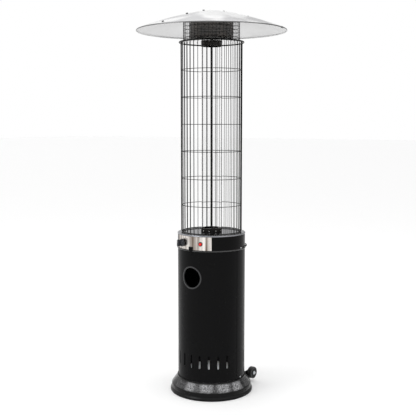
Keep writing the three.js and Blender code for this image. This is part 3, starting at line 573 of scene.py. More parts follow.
# ---------------------------------------------------------------------------------------------
# Back shell: half a rolled steel tube with vent slots near its foot, powder coated satin black.
# It stands on the shelf of the base ring and is held there by a domed screw near each edge. Its
# edges turn inward, with a lip that closes the seam behind the door.
# ---------------------------------------------------------------------------------------------


def prism(name, outline, back, front, place, look):
    """Closed block with the given flat outline, between two depths along the place's Z."""
    shape = bmesh.new()
    low = [shape.verts.new(place @ Vector((x, y, back))) for x, y in outline]
    high = [shape.verts.new(place @ Vector((x, y, front))) for x, y in outline]
    shape.faces.new(low[::-1])
    shape.faces.new(high)
    for i in range(len(outline)):
        k = (i + 1) % len(outline)
        shape.faces.new((low[i], low[k], high[k], high[i]))
    return as_piece(name, shape, look)


def stadium(width, length, steps=10):
    """Outline of an upright slot with round ends."""
    reach = (length - width) / 2
    turns = [math.pi * k / steps for k in range(steps + 1)]
    top = [(width / 2 * math.cos(t), reach + width / 2 * math.sin(t)) for t in turns]
    return top + [(-x, -y) for x, y in top]


def circle(radius, steps=64):
    """Outline of a round hole."""
    turns = [2 * math.pi * k / steps for k in range(steps)]
    return [(radius * math.cos(t), radius * math.sin(t)) for t in turns]


def carve(piece, cutters, crease=32):
    """Cuts other pieces out of one, and throws them away."""
    for cutter in cutters:
        cut = piece.modifiers.new("cut", "BOOLEAN")
        cut.object = cutter
        cut.solver = "EXACT"
    graph = bpy.context.evaluated_depsgraph_get()
    mesh = bpy.data.meshes.new_from_object(piece.evaluated_get(graph))
    piece.modifiers.clear()
    piece.data = mesh
    mesh.shade_smooth()
    mesh.set_sharp_from_angle(angle=math.radians(crease))
    for cutter in cutters:
        bpy.data.objects.remove(cutter)
    return piece


def tube_wall(inner, outer, bottom, top):
    """Outline of a plain sheet-metal band."""
    return [(inner, bottom), (outer, bottom), (outer, top), (inner, top)]


housing_paint = painted("housing_paint", (0.0042, 0.0042, 0.0044), 0.28, 0.05, dust=0.03)
shell_low, shell_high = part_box("back_shell")
shell_radius, shell_wall = shell_high.y, 1.2 * mm
shell_inside = shell_radius - shell_wall
door_half, seam = 84.3, 0.4  # degrees
touch, through = 0.05 * mm, 20 * mm
slot_pitch, slot_width, slot_length = 15.85, 9 * mm, 66 * mm
slot_height = lip_top + 68 * mm + slot_length / 2


def slots(count, middle):
    """Cutters for a row of vent slots."""
    cutters = []
    for i in range(count):
        place = facing_out(middle + (i - (count - 1) / 2) * slot_pitch, shell_radius, slot_height)
        slot = stadium(slot_width, slot_length)
        cutters.append(prism("slot_cutter", slot, -through, through, place, housing_paint))
    return cutters


back_edge = door_half + seam
shape = bmesh.new()
turn_into(
    shape, tube_wall(shell_inside, shell_radius, shell_low.z, shell_high.z),
    steps=190, start=back_edge, sweep=360 - 2 * back_edge,
)
back = carve(as_piece("housing_back", shape, housing_paint), slots(10, 180))
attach(back, "heater")
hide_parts("back_shell")

returns = bmesh.new()
edge_depth, edge_sweep, lip_reach = 13 * mm, 0.7, 1.7
edge_inside, edge_bottom = shell_inside - edge_depth, tray_top + 3 * mm
flange = tube_wall(edge_inside, shell_inside - touch, edge_bottom, shell_high.z)
for start in (back_edge, 360 - back_edge - edge_sweep):
    turn_into(returns, flange, steps=2, start=start, sweep=edge_sweep)
lip = tube_wall(edge_inside, edge_inside + mm, edge_bottom, shell_high.z)
for start in (back_edge - lip_reach, 360 - back_edge - edge_sweep):
    turn_into(returns, lip, steps=4, start=start, sweep=lip_reach + edge_sweep)
door_returns = as_piece("door_return_flanges", returns, housing_paint)
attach(door_returns, "heater")

screw_radius, screw_height = 3.6 * mm, 2.2 * mm
shell_screw = 94.8
shape = bmesh.new()
for angle in (shell_screw, 360 - shell_screw):
    dome_head(shape, facing_out(angle, shell_radius, lip_top + 6.5 * mm), screw_radius, screw_height)
shell_screws = as_piece("housing_screws", shape, zinc)
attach(shell_screws, "heater")

# ---------------------------------------------------------------------------------------------
# Front door: the other half of the tube, hung on two lift-off hinges at its left edge, with its
# own vent slots, a round hand hole for the bottle valve and a short tab at the top.
# ---------------------------------------------------------------------------------------------
door_low, door_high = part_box("front_door")
door_bottom, door_top = door_low.z, shell_high.z - 0.2 * mm
door_edge = door_half - seam
hole_height = door_top - 130 * mm
hole_radius = 51 * mm
shape = bmesh.new()
turn_into(
    shape, tube_wall(shell_inside, shell_radius, door_bottom, door_top),
    steps=168, start=-door_edge, sweep=2 * door_edge,
)
door = as_piece("door_leaf", shape, housing_paint)
hole_place = facing_out(0, shell_radius, hole_height)
hand_hole = prism("hole_cutter", circle(hole_radius), -30 * mm, 30 * mm, hole_place, housing_paint)
carve(door, [*slots(9, 0), hand_hole])
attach(door, "door")
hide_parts("front_door")

tab_half = 2.0
tab_face, tab_step = shell_radius + 2.2 * mm, door_top - 4 * mm
tab_upper = tube_wall(shell_radius + 0.6 * mm, tab_face, tab_step, door_high.z)
tab_lower = tube_wall(shell_radius + touch, tab_face, door_top - 16 * mm, tab_step)
shape = bmesh.new()
for part in (tab_upper, tab_lower):
    turn_into(shape, part, steps=8, start=-tab_half, sweep=2 * tab_half)
door_tab = as_piece("door_tab", shape, housing_paint)
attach(door_tab, "door")

hinge_reach, leaf_face = shell_radius + 5.3 * mm, shell_radius + 2.3 * mm
knuckle_length, knuckle_gap = 22 * mm, 0.3 * mm
at = Matrix.Translation(polar(hinge_reach, -door_half, 0))
shape = bmesh.new()
for hinge in ("hinge_lower", "hinge_upper"):
    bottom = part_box(hinge)[0].z + knuckle_length + knuckle_gap
    top = bottom + knuckle_length - knuckle_gap
    turn_into(shape, rounded(tube_wall(2.8 * mm, 5 * mm, bottom, top), 0.5 * mm), steps=24, place=at)
    leaf = tube_wall(shell_radius + touch, leaf_face, bottom, top)
    turn_into(shape, leaf, steps=8, start=-door_half + 0.7, sweep=8.3)
    for height in (bottom + 5 * mm, top - 5 * mm):
        dome_head(shape, facing_out(-door_half + 6, leaf_face, height), 2.2 * mm, 1.2 * mm)
door_hinges = as_piece("door_hinge_leaves", shape, housing_paint)
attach(door_hinges, "door")
for hinge in ("hinge_lower", "hinge_upper"):
    dress(hinge, housing_paint, 0.4 * mm)

magnet_plastic = plastic("magnet_plastic", (0.015, 0.015, 0.015), 0.5)
dress("magnet_catch", magnet_plastic, 1 * mm)

# ---------------------------------------------------------------------------------------------
# Hand hole trim: a moulded dark grey ring pressed into the hole. Its flange follows the curve of the
# door and its sleeve covers the cut edge of the sheet.
# ---------------------------------------------------------------------------------------------
trim_bore, trim_neck, trim_edge = hole_radius - 1.7 * mm, hole_radius - 0.5 * mm, hole_radius + 5.2 * mm
trim_steps = 96
trim_section = [
    (trim_bore, -7 * mm),
    (trim_neck, -7 * mm),
    (trim_neck, 0.4 * mm),
    (trim_edge, 0.4 * mm),
    (trim_edge, 1.1 * mm),
    (hole_radius + 3.5 * mm, 2 * mm),
    (hole_radius + 1 * mm, 2 * mm),
    (trim_bore, 1.2 * mm),
]
trim_section = rounded(trim_section, 0.7 * mm)
shape = bmesh.new()
rings = []
for step in range(trim_steps):
    turn = 2 * math.pi * step / trim_steps
    ring = []
    for reach, proud in trim_section:
        x, z = reach * math.cos(turn), reach * math.sin(turn)
        surface = shell_radius + proud
        ring.append(shape.verts.new((x, -math.sqrt(surface**2 - x**2), hole_height + z)))
    rings.append(ring)
for step, ring in enumerate(rings):
    following = rings[(step + 1) % len(rings)]
    for a in range(len(ring)):
        b = (a + 1) % len(ring)
        shape.faces.new((ring[a], following[a], following[b], ring[b]))
trim_plastic = plastic("trim_plastic", (0.02, 0.02, 0.021), 0.35)
trim = as_piece("hand_hole_ring", shape, trim_plastic)
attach(trim, "door")
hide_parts("hand_hole_trim")

# ---------------------------------------------------------------------------------------------
# Control collar: a steel band above the door with a rolled bead at its lower edge. A window
# behind the control panel makes room for the valve, and the bead is cut for the door's tab.
# ---------------------------------------------------------------------------------------------
deck_low, deck_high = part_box("top_plate")
deck_top = deck_high.z
collar_low, collar_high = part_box("control_collar")
bead, bead_steps = 2.2 * mm, 12
bead_centre, bead_start = collar_low.z + bead, shell_radius + 1.6 * mm
bead_outline = [(shell_radius + touch, collar_low.z), (bead_start, collar_low.z)]
for k in range(1, bead_steps):
    turn = math.pi * (k / bead_steps - 0.5)
    bead_outline.append((bead_start + bead * math.cos(turn), bead_centre + bead * math.sin(turn)))
bead_outline += [
    (shell_radius + 1.0 * mm, bead_centre + bead),
    (shell_radius + touch, bead_centre + bead + 1.2 * mm),
]
tab_room = 9.5 * mm
tab_angle = math.degrees(tab_room / shell_radius)
bead_paint = painted("bead_paint", (0.01, 0.01, 0.01), 0.14, 0.7, dust=0.1)
rolled_bead = turned(
    "collar_bead", bead_outline, bead_paint, steps=180, start=tab_angle, sweep=360 - 2 * tab_angle
)
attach(rolled_bead, "heater")

collar_outline = tube_wall(shell_radius - 1.5 * mm, shell_radius, collar_low.z, collar_high.z)
panel_low, panel_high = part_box("control_panel")
panel_half, window_half = 36.2, 33.2
collar = turned("collar_band", collar_outline, housing_paint, steps=180)
window_outline = tube_wall(
    shell_radius - through, shell_radius + through, panel_low.z + 12 * mm, panel_high.z - 3 * mm
)
window = bmesh.new()
turn_into(window, window_outline, steps=66, start=-window_half, sweep=2 * window_half)
carve(collar, [as_piece("window_cutter", window, housing_paint)])
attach(collar, "heater")
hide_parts("control_collar")

collar_screw = 95.6
shape = bmesh.new()
for angle in (collar_screw, 360 - collar_screw):
    dome_head(shape, facing_out(angle, shell_radius, collar_low.z + 9 * mm), screw_radius, screw_height)
collar_screws = as_piece("collar_screws", shape, zinc)
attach(collar_screws, "heater")
dress("bay_ceiling", zinc)

# ---------------------------------------------------------------------------------------------
# Control panel: a curved sheet of brushed stainless steel over the collar's window, with holes
# for the knob's spindle and the igniter and a notch for the door's catch.
# ---------------------------------------------------------------------------------------------
# Painted reflection: the dark brown, upright tarnish streaks on the panel stand in for the streaky
# reflections seen in brushed steel.
panel_steel_painted_reflection = steel(
    "panel_steel_painted_reflection", Steel=(0.86, 0.82, 0.78), Tarnish=(0.12, 0.085, 0.06), Tarnish_Amount=0.95,
    Tarnish_Scale=(55.0, 55.0, 2.0), Line_Scale=(1400.0, 1400.0, 30.0), Shine=0.24,
)
panel_front = shell_radius + 1.5 * mm
control_height = deck_top - 41 * mm
knob_angle, button_angle = -17.8, 17.7
shape = bmesh.new()
turn_into(
    shape, tube_wall(shell_radius + 0.3 * mm, panel_front, panel_low.z, panel_high.z),
    steps=72, start=-panel_half, sweep=2 * panel_half,
)
panel = as_piece("stainless_panel", shape, panel_steel_painted_reflection)
catch_low, catch_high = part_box("door_catch")
notch_half = catch_high.x + 0.3 * mm
notch_top = catch_high.z - catch_low.z + 0.3 * mm
notch_outline = [
    (-notch_half, -through), (notch_half, -through), (notch_half, notch_top), (-notch_half, notch_top)
]
notch_place = facing_out(0, shell_radius, panel_low.z)
cutters = [prism("notch_cutter", notch_outline, -through, through, notch_place, panel_steel_painted_reflection)]
for angle, radius in ((knob_angle, 6 * mm), (button_angle, 8.9 * mm)):
    place = facing_out(angle, shell_radius, control_height)
    cutters.append(prism("hole_cutter", circle(radius, 32), -through, through, place, panel_steel_painted_reflection))
carve(panel, cutters)
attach(panel, "heater")
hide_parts("control_panel")

catch_plastic = plastic("catch_plastic", (0.012, 0.012, 0.013), 0.45)
dress("door_catch", catch_plastic, 0.8 * mm)

# ---------------------------------------------------------------------------------------------
# Top plate: mirror-polished stainless sheet whose edge rolls down over the collar. The burner
# stands up through the hole in its middle, and it mirrors the wires of the guard.
# ---------------------------------------------------------------------------------------------
plate_outer = deck_high.x
plate_wall, plate_roll = 1.2 * mm, 5 * mm
plate_hole = 44 * mm
roll_steps = 12


def plate_edge(radius):
    """Quarter round of the rolled edge, from its outer side up to the flat."""
    turns = [math.pi / 2 * k / roll_steps for k in range(roll_steps + 1)]
    across, up = plate_outer - plate_roll, deck_top - plate_roll
    return [(across + radius * math.cos(turn), up + radius * math.sin(turn)) for turn in turns]


plate_outline = [
    (plate_hole, deck_top - plate_wall),
    *plate_edge(plate_roll - plate_wall)[::-1],
    (plate_outer - plate_wall, deck_low.z),
    (plate_outer, deck_low.z),
    *plate_edge(plate_roll),
    (plate_hole, deck_top),
]
# Painted reflection: the polished steel is given a dark grey colour that stands in for the dark reflections
# seen in it.
plate_steel_painted_reflection = steel(
    "plate_steel_painted_reflection", Steel=(0.34, 0.35, 0.38), Tarnish=(0.16, 0.15, 0.15), Tarnish_Amount=0.5,
    Tarnish_Scale=(7.0, 7.0, 7.0), Line_Scale=(40.0, 700.0, 40.0), Shine=0.1, Shine_Spread=0.08,
    depth=0.000008,
)
plate = turned("deck_plate", plate_outline, plate_steel_painted_reflection, steps=180)
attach(plate, "heater")
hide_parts("top_plate")

# ---------------------------------------------------------------------------------------------
# Rear handle: a bent steel rod with flattened lugs on the collar, powder coated black. It is the
# grip for tipping the heater back onto its wheels.
# ---------------------------------------------------------------------------------------------


def sweep_rod(shape, path, radius, sides=12, closed=False):
    """Adds a round rod along a path to a bmesh."""
    rings = []
    last = len(path) - 1
    for i, at in enumerate(path):
        before = path[i - 1] if i or closed else path[0]
        after = path[(i + 1) % len(path)] if i < last or closed else path[last]
        along = (after - before).normalized()
        side = along.cross(Vector((0, 0, 1)))
        if side.length < 0.1:
            side = along.cross(Vector((1, 0, 0)))
        side.normalize()
        up = side.cross(along)
        turns = [2 * math.pi * k / sides for k in range(sides)]
        rings.append(
            [shape.verts.new(at + side * (radius * math.cos(t)) + up * (radius * math.sin(t))) for t in turns]
        )
    for i in range(last + 1 if closed else last):
        here, there = rings[i], rings[(i + 1) % len(rings)]
        for a in range(sides):
            b = (a + 1) % sides
            shape.faces.new((here[a], there[a], there[b], here[b]))
    if not closed:
        shape.faces.new(rings[0][::-1])
        shape.faces.new(rings[-1])


handle_low, handle_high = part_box("rear_handle")
handle_rod, handle_end = 3.2 * mm, 120
handle_height = handle_low.z + handle_rod
bow_back = handle_high.y - handle_rod
end = polar(shell_radius + 4.2 * mm, handle_end, 0)
bow_middle = (bow_back**2 - end.x**2 - end.y**2) / (2 * (bow_back - end.y))
bow = bow_back - bow_middle
sweep = math.atan2(end.x, end.y - bow_middle)
path = []
bow_steps = 24
for i in range(-bow_steps, bow_steps + 1):
    turn = sweep * i / bow_steps
    path.append(Vector((bow * math.sin(turn), bow_middle + bow * math.cos(turn), handle_height)))
shape = bmesh.new()
sweep_rod(shape, path, handle_rod, sides=16)
lug_sweep, lug_past_end = 16, 3
lug_bottom, lug_top = handle_height - 2.8 * mm, handle_height + 5 * mm
lug = rounded(tube_wall(shell_radius + 0.1 * mm, shell_radius + 2.3 * mm, lug_bottom, lug_top), mm)
for start in (handle_end + lug_past_end - lug_sweep, 360 - handle_end - lug_past_end):
    turn_into(shape, lug, steps=16, start=start, sweep=lug_sweep)
handle = as_piece("handle_bow", shape, housing_paint)
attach(handle, "heater")
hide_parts("rear_handle")

# ---------------------------------------------------------------------------------------------
# Gas control: a black moulded knob on a brass spindle. It is pushed in and turned; a white line
# on its grip shows the setting. The brass valve and its bracket sit behind the panel.
# ---------------------------------------------------------------------------------------------
knob_radius = 19.5 * mm
knob_back = 5.5 * mm
knob_place = facing_out(knob_angle, panel_front, control_height)
knob_section = [
    (4.3 * mm, knob_back), (knob_radius, knob_back), (knob_radius, knob_back + 5 * mm),
    (knob_radius - 5 * mm, knob_back + 6 * mm), (knob_radius - 6.5 * mm, knob_back + 17 * mm),
    (4.3 * mm, knob_back + 18 * mm),
]
shape = bmesh.new()
turn_into(shape, rounded(knob_section, 1.2 * mm), steps=96, place=knob_place)
knob_ribs = 40
for i in range(knob_ribs):
    turn = Matrix.Rotation(2 * math.pi * i / knob_ribs, 4, "Z")
    foot = knob_place @ turn @ Vector((knob_radius - 0.5 * mm, 0, knob_back + 1 * mm))
    head = knob_place @ turn @ Vector((knob_radius - 0.5 * mm, 0, knob_back + 4.2 * mm))
    sweep_rod(shape, [foot, head], 0.7 * mm, sides=6)
knob_plastic = plastic("knob_plastic", (0.014, 0.015, 0.02), 0.34, scuffs=0.25)
knob = as_piece("knob_skirt", shape, knob_plastic)
grip_reach, grip_half = knob_radius - 3.6 * mm, 4.5 * mm
grip_outline = [
    (-grip_half, -grip_reach + 2 * mm), (-grip_half * 0.6, -grip_reach), (grip_half * 0.6, -grip_reach),
    (grip_half, -grip_reach + 2 * mm), (grip_half, grip_reach - 2 * mm), (grip_half * 0.6, grip_reach),
    (-grip_half * 0.6, grip_reach), (-grip_half, grip_reach - 2 * mm),
]
grip_top = knob_back + 31 * mm
grip = prism("knob_grip", grip_outline, knob_back + 6 * mm, grip_top, knob_place, knob_plastic)
edge = grip.modifiers.new("edge", "BEVEL")
edge.width, edge.segments, edge.harden_normals = 1.2 * mm, 3, True
line_white = plastic("line_white", (0.75, 0.75, 0.73), 0.5, scuffs=0.0)
pointer_outline = [(-0.7 * mm, 2 * mm), (0.7 * mm, 2 * mm), (0.7 * mm, 13 * mm), (-0.7 * mm, 13 * mm)]
pointer = prism(
    "knob_pointer", pointer_outline, grip_top - 0.2 * mm, grip_top + 0.1 * mm, knob_place, line_white
)
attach(knob, "knob")
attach(grip, "knob")
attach(pointer, "knob")
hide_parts("control_knob")

brass = steel(
    "brass", Steel=(0.72, 0.55, 0.27), Tarnish=(0.34, 0.23, 0.1), Tarnish_Scale=(50.0, 50.0, 50.0),
    Line_Scale=(500.0, 500.0, 500.0), Shine=0.28,
)
dress("valve_spindle", brass, 0.4 * mm)
dress("gas_valve", brass, 0.6 * mm)
dress("gas_inlet", brass)
dress("burner_pipe", brass)
dress("valve_bracket", zinc, 0.3 * mm)

# ---------------------------------------------------------------------------------------------
# Igniter: a red push button in a black bezel, in front of a spark unit behind the panel. Near
# it, on the ceiling plate, sits the tilt switch in its black box.
# ---------------------------------------------------------------------------------------------
button_place = facing_out(button_angle, panel_front, control_height)
bezel_bore = 8.7 * mm
bezel_section = [
    (bezel_bore, 0.6 * mm), (11 * mm, 0.6 * mm), (10.8 * mm, 2.2 * mm), (9.6 * mm, 2.8 * mm),
    (bezel_bore, 2.8 * mm),
]
bezel_plastic = plastic("bezel_plastic", (0.011, 0.011, 0.012), 0.35)
bezel = turned("button_bezel", rounded(bezel_section, 0.5 * mm), bezel_plastic, steps=64, place=button_place)
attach(bezel, "heater")
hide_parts("igniter_bezel")
button_radius = 7 * mm
button_section = [
    (0, -3.4 * mm), (button_radius, -3.4 * mm), (button_radius, 4.6 * mm), (5.6 * mm, 5.3 * mm),
    (2 * mm, 5.5 * mm), (0, 5.5 * mm),
]
button_red = plastic("button_red", (0.75, 0.025, 0.018), 0.25, scuffs=0.05)
button = turned("button_cap", rounded(button_section, 0.8 * mm), button_red, steps=48, place=button_place)
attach(button, "button")
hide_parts("igniter_button")
dress("igniter_body", bezel_plastic)
dress("tilt_switch", catch_plastic, 1 * mm)

# ---------------------------------------------------------------------------------------------
# Burner: a black pressed cup that stands up through the top plate, with rows of small ports in
# its top, and beside it the pilot bridge with its thermocouple and spark electrode.
# ---------------------------------------------------------------------------------------------
hot_steel = steel(
    "hot_steel", Steel=(0.022, 0.021, 0.02), Tarnish=(0.045, 0.038, 0.032), Tarnish_Scale=(30.0, 30.0, 30.0),
    Line_Scale=(200.0, 200.0, 200.0), Shine=0.38,
)
burner_low, burner_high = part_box("burner_head")
burner_radius, burner_top = 34 * mm, burner_high.z
flange = deck_top - 1.5 * mm
burner_section = [
    (6 * mm, burner_low.z), (burner_radius - 6 * mm, burner_low.z), (burner_radius, burner_low.z + 8 * mm),
    (burner_radius, flange - 2.7 * mm), (plate_hole + 7 * mm, flange - 2.7 * mm),
    (plate_hole + 7 * mm, flange), (burner_radius, flange), (burner_radius, burner_top), (0, burner_top),
    (0, burner_top - 2 * mm), (burner_radius - 2 * mm, burner_top - 2 * mm),
    (burner_radius - 2 * mm, burner_low.z + 8 * mm), (burner_radius - 7 * mm, burner_low.z + 2 * mm),
    (6 * mm, burner_low.z + 2 * mm),
]
shape = bmesh.new()
turn_into(shape, rounded(burner_section, 1.2 * mm), steps=72)
port_lip = [(1.1 * mm, -0.2 * mm), (1.8 * mm, -0.2 * mm), (1.6 * mm, 0.4 * mm), (1.1 * mm, 0.4 * mm)]
for ports in (8, 16, 24):
    for i in range(ports):
        at = polar(ports * mm, 360 * i / ports, burner_top)
        turn_into(shape, port_lip, steps=10, place=Matrix.Translation(at))
burner = as_piece("burner_cup", shape, hot_steel)
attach(burner, "heater")
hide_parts("burner_head")
bright_steel = steel("bright_steel", Steel=(0.8, 0.79, 0.77), Tarnish=(0.4, 0.36, 0.33), Shine=0.2)
dress("pilot_assembly", bright_steel, 0.3 * mm)

# ---------------------------------------------------------------------------------------------
# Flame tube: a clear quartz tube, 2.5 mm thick, that stands in a dark cup on the top plate, with
# bright screws round the cup, and passes up through the support plate into a dark collar.
# ---------------------------------------------------------------------------------------------
tube_low, tube_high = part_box("glass_tube")
tube_radius, tube_wall_width = tube_high.x, 2.5 * mm
tube_outline = tube_wall(tube_radius - tube_wall_width, tube_radius, tube_low.z, tube_high.z)
quartz, tree, shader = material("quartz", roughness=0.0)
shader.inputs["Transmission Weight"].default_value = 1.0
shader.inputs["IOR"].default_value = 1.04
place = add(tree, "TexCoord").outputs["Object"]
upright = add(tree, "VectorMath", {0: place, 1: (30.0, 30.0, 1.5)}, operation="MULTIPLY").outputs[0]
haze = add(tree, "TexNoise", {"Vector": upright, "Scale": 1.0, "Detail": 4.0})
hazy = span(tree, haze.outputs["Fac"], 0.35, 0.7, 0, 1)
tree.links.new(
    blend_of(tree, hazy, (0.985, 0.985, 0.985), (0.93, 0.93, 0.93)), shader.inputs["Base Color"]
)
tube = turned("quartz_tube", rounded(tube_outline, 0.6 * mm), quartz, steps=128)
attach(tube, "heater")
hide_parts("glass_tube")

seat_low, seat_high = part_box("tube_seat")
seat_outer = seat_high.x
seat_section = [
    (tube_radius - 4.5 * mm, seat_low.z), (seat_outer, seat_low.z), (seat_outer, seat_high.z),
    (tube_radius + 0.3 * mm, seat_high.z), (tube_radius + 0.3 * mm, tube_low.z - 0.3 * mm),
    (tube_radius - 4.5 * mm, tube_low.z - 0.3 * mm),
]
seat = turned("tube_cup", rounded(seat_section, 0.8 * mm), hot_steel, steps=96)
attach(seat, "heater")
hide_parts("tube_seat")

guard_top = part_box("support_plate")[1].z
collar_hole = tube_radius + 2.3 * mm
cup_screw_count, first_cup_screw = 10, -12
screw_head = [(0, 0), (2.6 * mm, 0), (2.4 * mm, 1.4 * mm), (1.2 * mm, 2.2 * mm), (0, 2.2 * mm)]
shape = bmesh.new()
for i in range(cup_screw_count):
    angle = first_cup_screw + 360 * i / cup_screw_count
    place = facing_out(angle, seat_outer - 0.4 * mm, deck_top + 7 * mm)
    turn_into(shape, screw_head, steps=16, place=place)
cup_screws = as_piece("cup_screws", shape, bright_steel)
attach(cup_screws, "heater")

collar_bore, collar_outer = tube_radius + 0.3 * mm, collar_hole - 0.5 * mm
rest_height, rest_radius = guard_top + 0.3 * mm, collar_hole + 5 * mm
top_collar_section = [
    (collar_bore, guard_top - 20 * mm), (collar_outer, guard_top - 20 * mm),
    (collar_outer, rest_height), (rest_radius, rest_height),
    (rest_radius, rest_height + 1.5 * mm), (collar_bore, rest_height + 1.5 * mm),
]
top_collar = turned("tube_collar", top_collar_section, hot_steel, steps=96)
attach(top_collar, "heater")
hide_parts("tube_top_ring")

# ---------------------------------------------------------------------------------------------
# Wire guard: four quarter panels of upright wires spot welded to six hoops, between four thicker
# posts and two ring rods. All of it is painted satin black.
# ---------------------------------------------------------------------------------------------
wire_paint = painted("wire_paint", (0.002, 0.002, 0.002), 0.35, 0.1, dust=0.05, grain=0.0008, depth=0.00004)


def hoop(shape, radius, height, rod, steps=120, start=0.0, turn=360.0):
    """Adds a round rod bent to a ring, or to part of one, to a bmesh."""
    closed = turn == 360.0
    count = steps if closed else steps + 1
    path = [polar(radius, start + turn * i / steps, height) for i in range(count)]
    sweep_rod(shape, path, rod, sides=10, closed=closed)


foot_low, foot_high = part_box("guard_bottom_ring")
ring_rod = (foot_high.z - foot_low.z) / 2
foot_ring_radius = foot_high.x - ring_rod
shape = bmesh.new()
hoop(shape, foot_ring_radius, (foot_low.z + foot_high.z) / 2, ring_rod)
foot_ring = as_piece("guard_foot_ring", shape, wire_paint, 60)
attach(foot_ring, "heater")
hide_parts("guard_bottom_ring")

wire_low, wire_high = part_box("guard_panel_1")
wire, post = 1.5 * mm, 3.0 * mm
guard_radius = foot_ring_radius + 1.5 * mm
first_post, wires, hoops = 37, 9, 6
hoop_base, hoop_gap = deck_top + 3 * mm, 1.6
hoop_pitch = (guard_top - hoop_base) / (hoops + 1)
for i in range(4):
    start = first_post + 90 * i
    shape = bmesh.new()
    for k in range(1, wires + 1):
        angle = start + 90 * k / (wires + 1)
        sweep_rod(shape, [polar(guard_radius, angle, z) for z in (wire_low.z, wire_high.z)], wire, sides=10)
    for k in range(1, hoops + 1):
        height = hoop_base + k * hoop_pitch
        hoop(
            shape, guard_radius - 2.5 * mm, height, wire,
            steps=30, start=start + hoop_gap, turn=90 - 2 * hoop_gap,
        )
    quarter = as_piece(f"guard_wires_{i + 1}", shape, wire_paint, 60)
    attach(quarter, "heater")
    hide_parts(f"guard_panel_{i + 1}")
    shape = bmesh.new()
    sweep_rod(shape, [polar(guard_radius, start, z) for z in (wire_low.z, wire_high.z)], post, sides=16)
    upright = as_piece(f"guard_rod_{i + 1}", shape, wire_paint, 60)
    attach(upright, "heater")
    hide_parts(f"guard_post_{i + 1}")

crown_low, crown_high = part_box("guard_top_ring")
shape = bmesh.new()
hoop(shape, crown_high.x - ring_rod, (crown_low.z + crown_high.z) / 2, 1.45 * ring_rod)
crown = as_piece("guard_crown_ring", shape, wire_paint, 60)
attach(crown, "heater")
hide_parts("guard_top_ring")

# ---------------------------------------------------------------------------------------------
# Support plate: a flat polished steel ring on top of the wire guard. It carries the emitter drum on
# three short feet, and the flame tube passes through it.
# ---------------------------------------------------------------------------------------------
support_low, support_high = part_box("support_plate")
support_section = tube_wall(collar_hole, support_high.x, support_low.z, support_high.z)
support_steel = steel(
    "support_steel", Steel=(0.82, 0.82, 0.82), Tarnish=(0.45, 0.43, 0.42), Tarnish_Amount=0.4,
    Tarnish_Scale=(16.0, 16.0, 16.0), Line_Scale=(60.0, 700.0, 60.0), Shine=0.08, Shine_Spread=0.08,
    depth=0.000006,
)
support = turned("support_ring", rounded(support_section, 0.3 * mm), support_steel, steps=144)
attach(support, "heater")
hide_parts("support_plate")

# ---------------------------------------------------------------------------------------------
# Emitter drum: a perforated steel drum, blackened by the flame, with a flat lid. Three threaded
# studs on the lid pass up through the reflector and hold it with nuts.
# ---------------------------------------------------------------------------------------------
perforated, given, out = effect(
    "perforated",
    [("Holes Round", "Float", 96.0), ("Row Height", "Float", 0.0075), ("Hole Share", "Float", 0.3)],
    [("Hole", "Float")],
)
local = add(perforated, "SeparateXYZ", {0: add(perforated, "TexCoord").outputs["Object"]})
angle = math_of(perforated, "ARCTAN2", local.outputs["X"], local.outputs["Y"])
across = math_of(perforated, "DIVIDE", angle, 2 * math.pi)
across = math_of(perforated, "MULTIPLY", across, given.outputs["Holes Round"])
row = math_of(perforated, "DIVIDE", local.outputs["Z"], given.outputs["Row Height"])
offset = math_of(perforated, "MULTIPLY", math_of(perforated, "FLOOR", row), 0.5)
across = math_of(perforated, "FRACT", math_of(perforated, "ADD", across, offset))
across = math_of(perforated, "SUBTRACT", across, 0.5)
row = math_of(perforated, "SUBTRACT", math_of(perforated, "FRACT", row), 0.5)
squares = [math_of(perforated, "MULTIPLY", side, side) for side in (across, row)]
reach = math_of(perforated, "SQRT", math_of(perforated, "ADD", *squares))
perforated.links.new(
    math_of(perforated, "LESS_THAN", reach, given.outputs["Hole Share"]), out.inputs["Hole"]
)

drum_steel, tree, shader = material("drum_steel", metallic=0.7)
work = use(
    tree, worked_steel, Steel=(0.1, 0.098, 0.096), Tarnish=(0.2, 0.18, 0.165), Tarnish_Amount=0.8,
    Tarnish_Scale=(26.0, 26.0, 26.0), Line_Scale=(40.0, 40.0, 40.0), Shine=0.4,
)
holes = use(tree, perforated)
# Painted shade: the holes are not cut; each is a near-black spot that stands in for the dark inside of the
# drum seen through a hole.
tree.links.new(
    blend_of(tree, holes.outputs["Hole"], work.outputs["Color"], (0.01, 0.009, 0.008)),
    shader.inputs["Base Color"],
)
tree.links.new(work.outputs["Roughness"], shader.inputs["Roughness"])
height = math_of(tree, "SUBTRACT", 1.0, holes.outputs["Hole"])
bump(tree, shader, height, 0.0008)

drum_low, drum_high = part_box("emitter_drum")
drum_radius = drum_high.x
drum_bottom, drum_bore = guard_top + 17 * mm, collar_hole + 6 * mm
drum_section = [
    (drum_bore, drum_bottom), (drum_radius - 3 * mm, drum_bottom), (drum_radius, drum_bottom + 3 * mm),
]
rows = 5
for i in range(1, rows):
    height = drum_bottom + (drum_high.z - drum_bottom) * i / rows
    for lift, depth in ((-2, 0), (-1, 0.4), (1, 0.4), (2, 0)):
        drum_section.append((drum_radius - depth * mm, height + lift * mm))
drum_section += [
    (drum_radius, drum_high.z), (drum_radius - 2 * mm, drum_high.z),
    (drum_radius - 2 * mm, drum_bottom + 4 * mm), (drum_radius - 4 * mm, drum_bottom + 1.2 * mm),
    (drum_bore, drum_bottom + 1.2 * mm),
]
shape = bmesh.new()
turn_into(shape, drum_section, steps=144)
reflector_seam = -4
foot_section = plug(4 * mm, drum_low.z, drum_bottom + 0.4 * mm)
for i in range(3):
    foot = polar(drum_radius - 16 * mm, reflector_seam + 120 * i, 0)
    turn_into(shape, foot_section, steps=20, place=Matrix.Translation(foot))
lap = tube_wall(drum_radius - 0.2 * mm, drum_radius + 0.8 * mm, drum_bottom + 4 * mm, drum_high.z - mm)
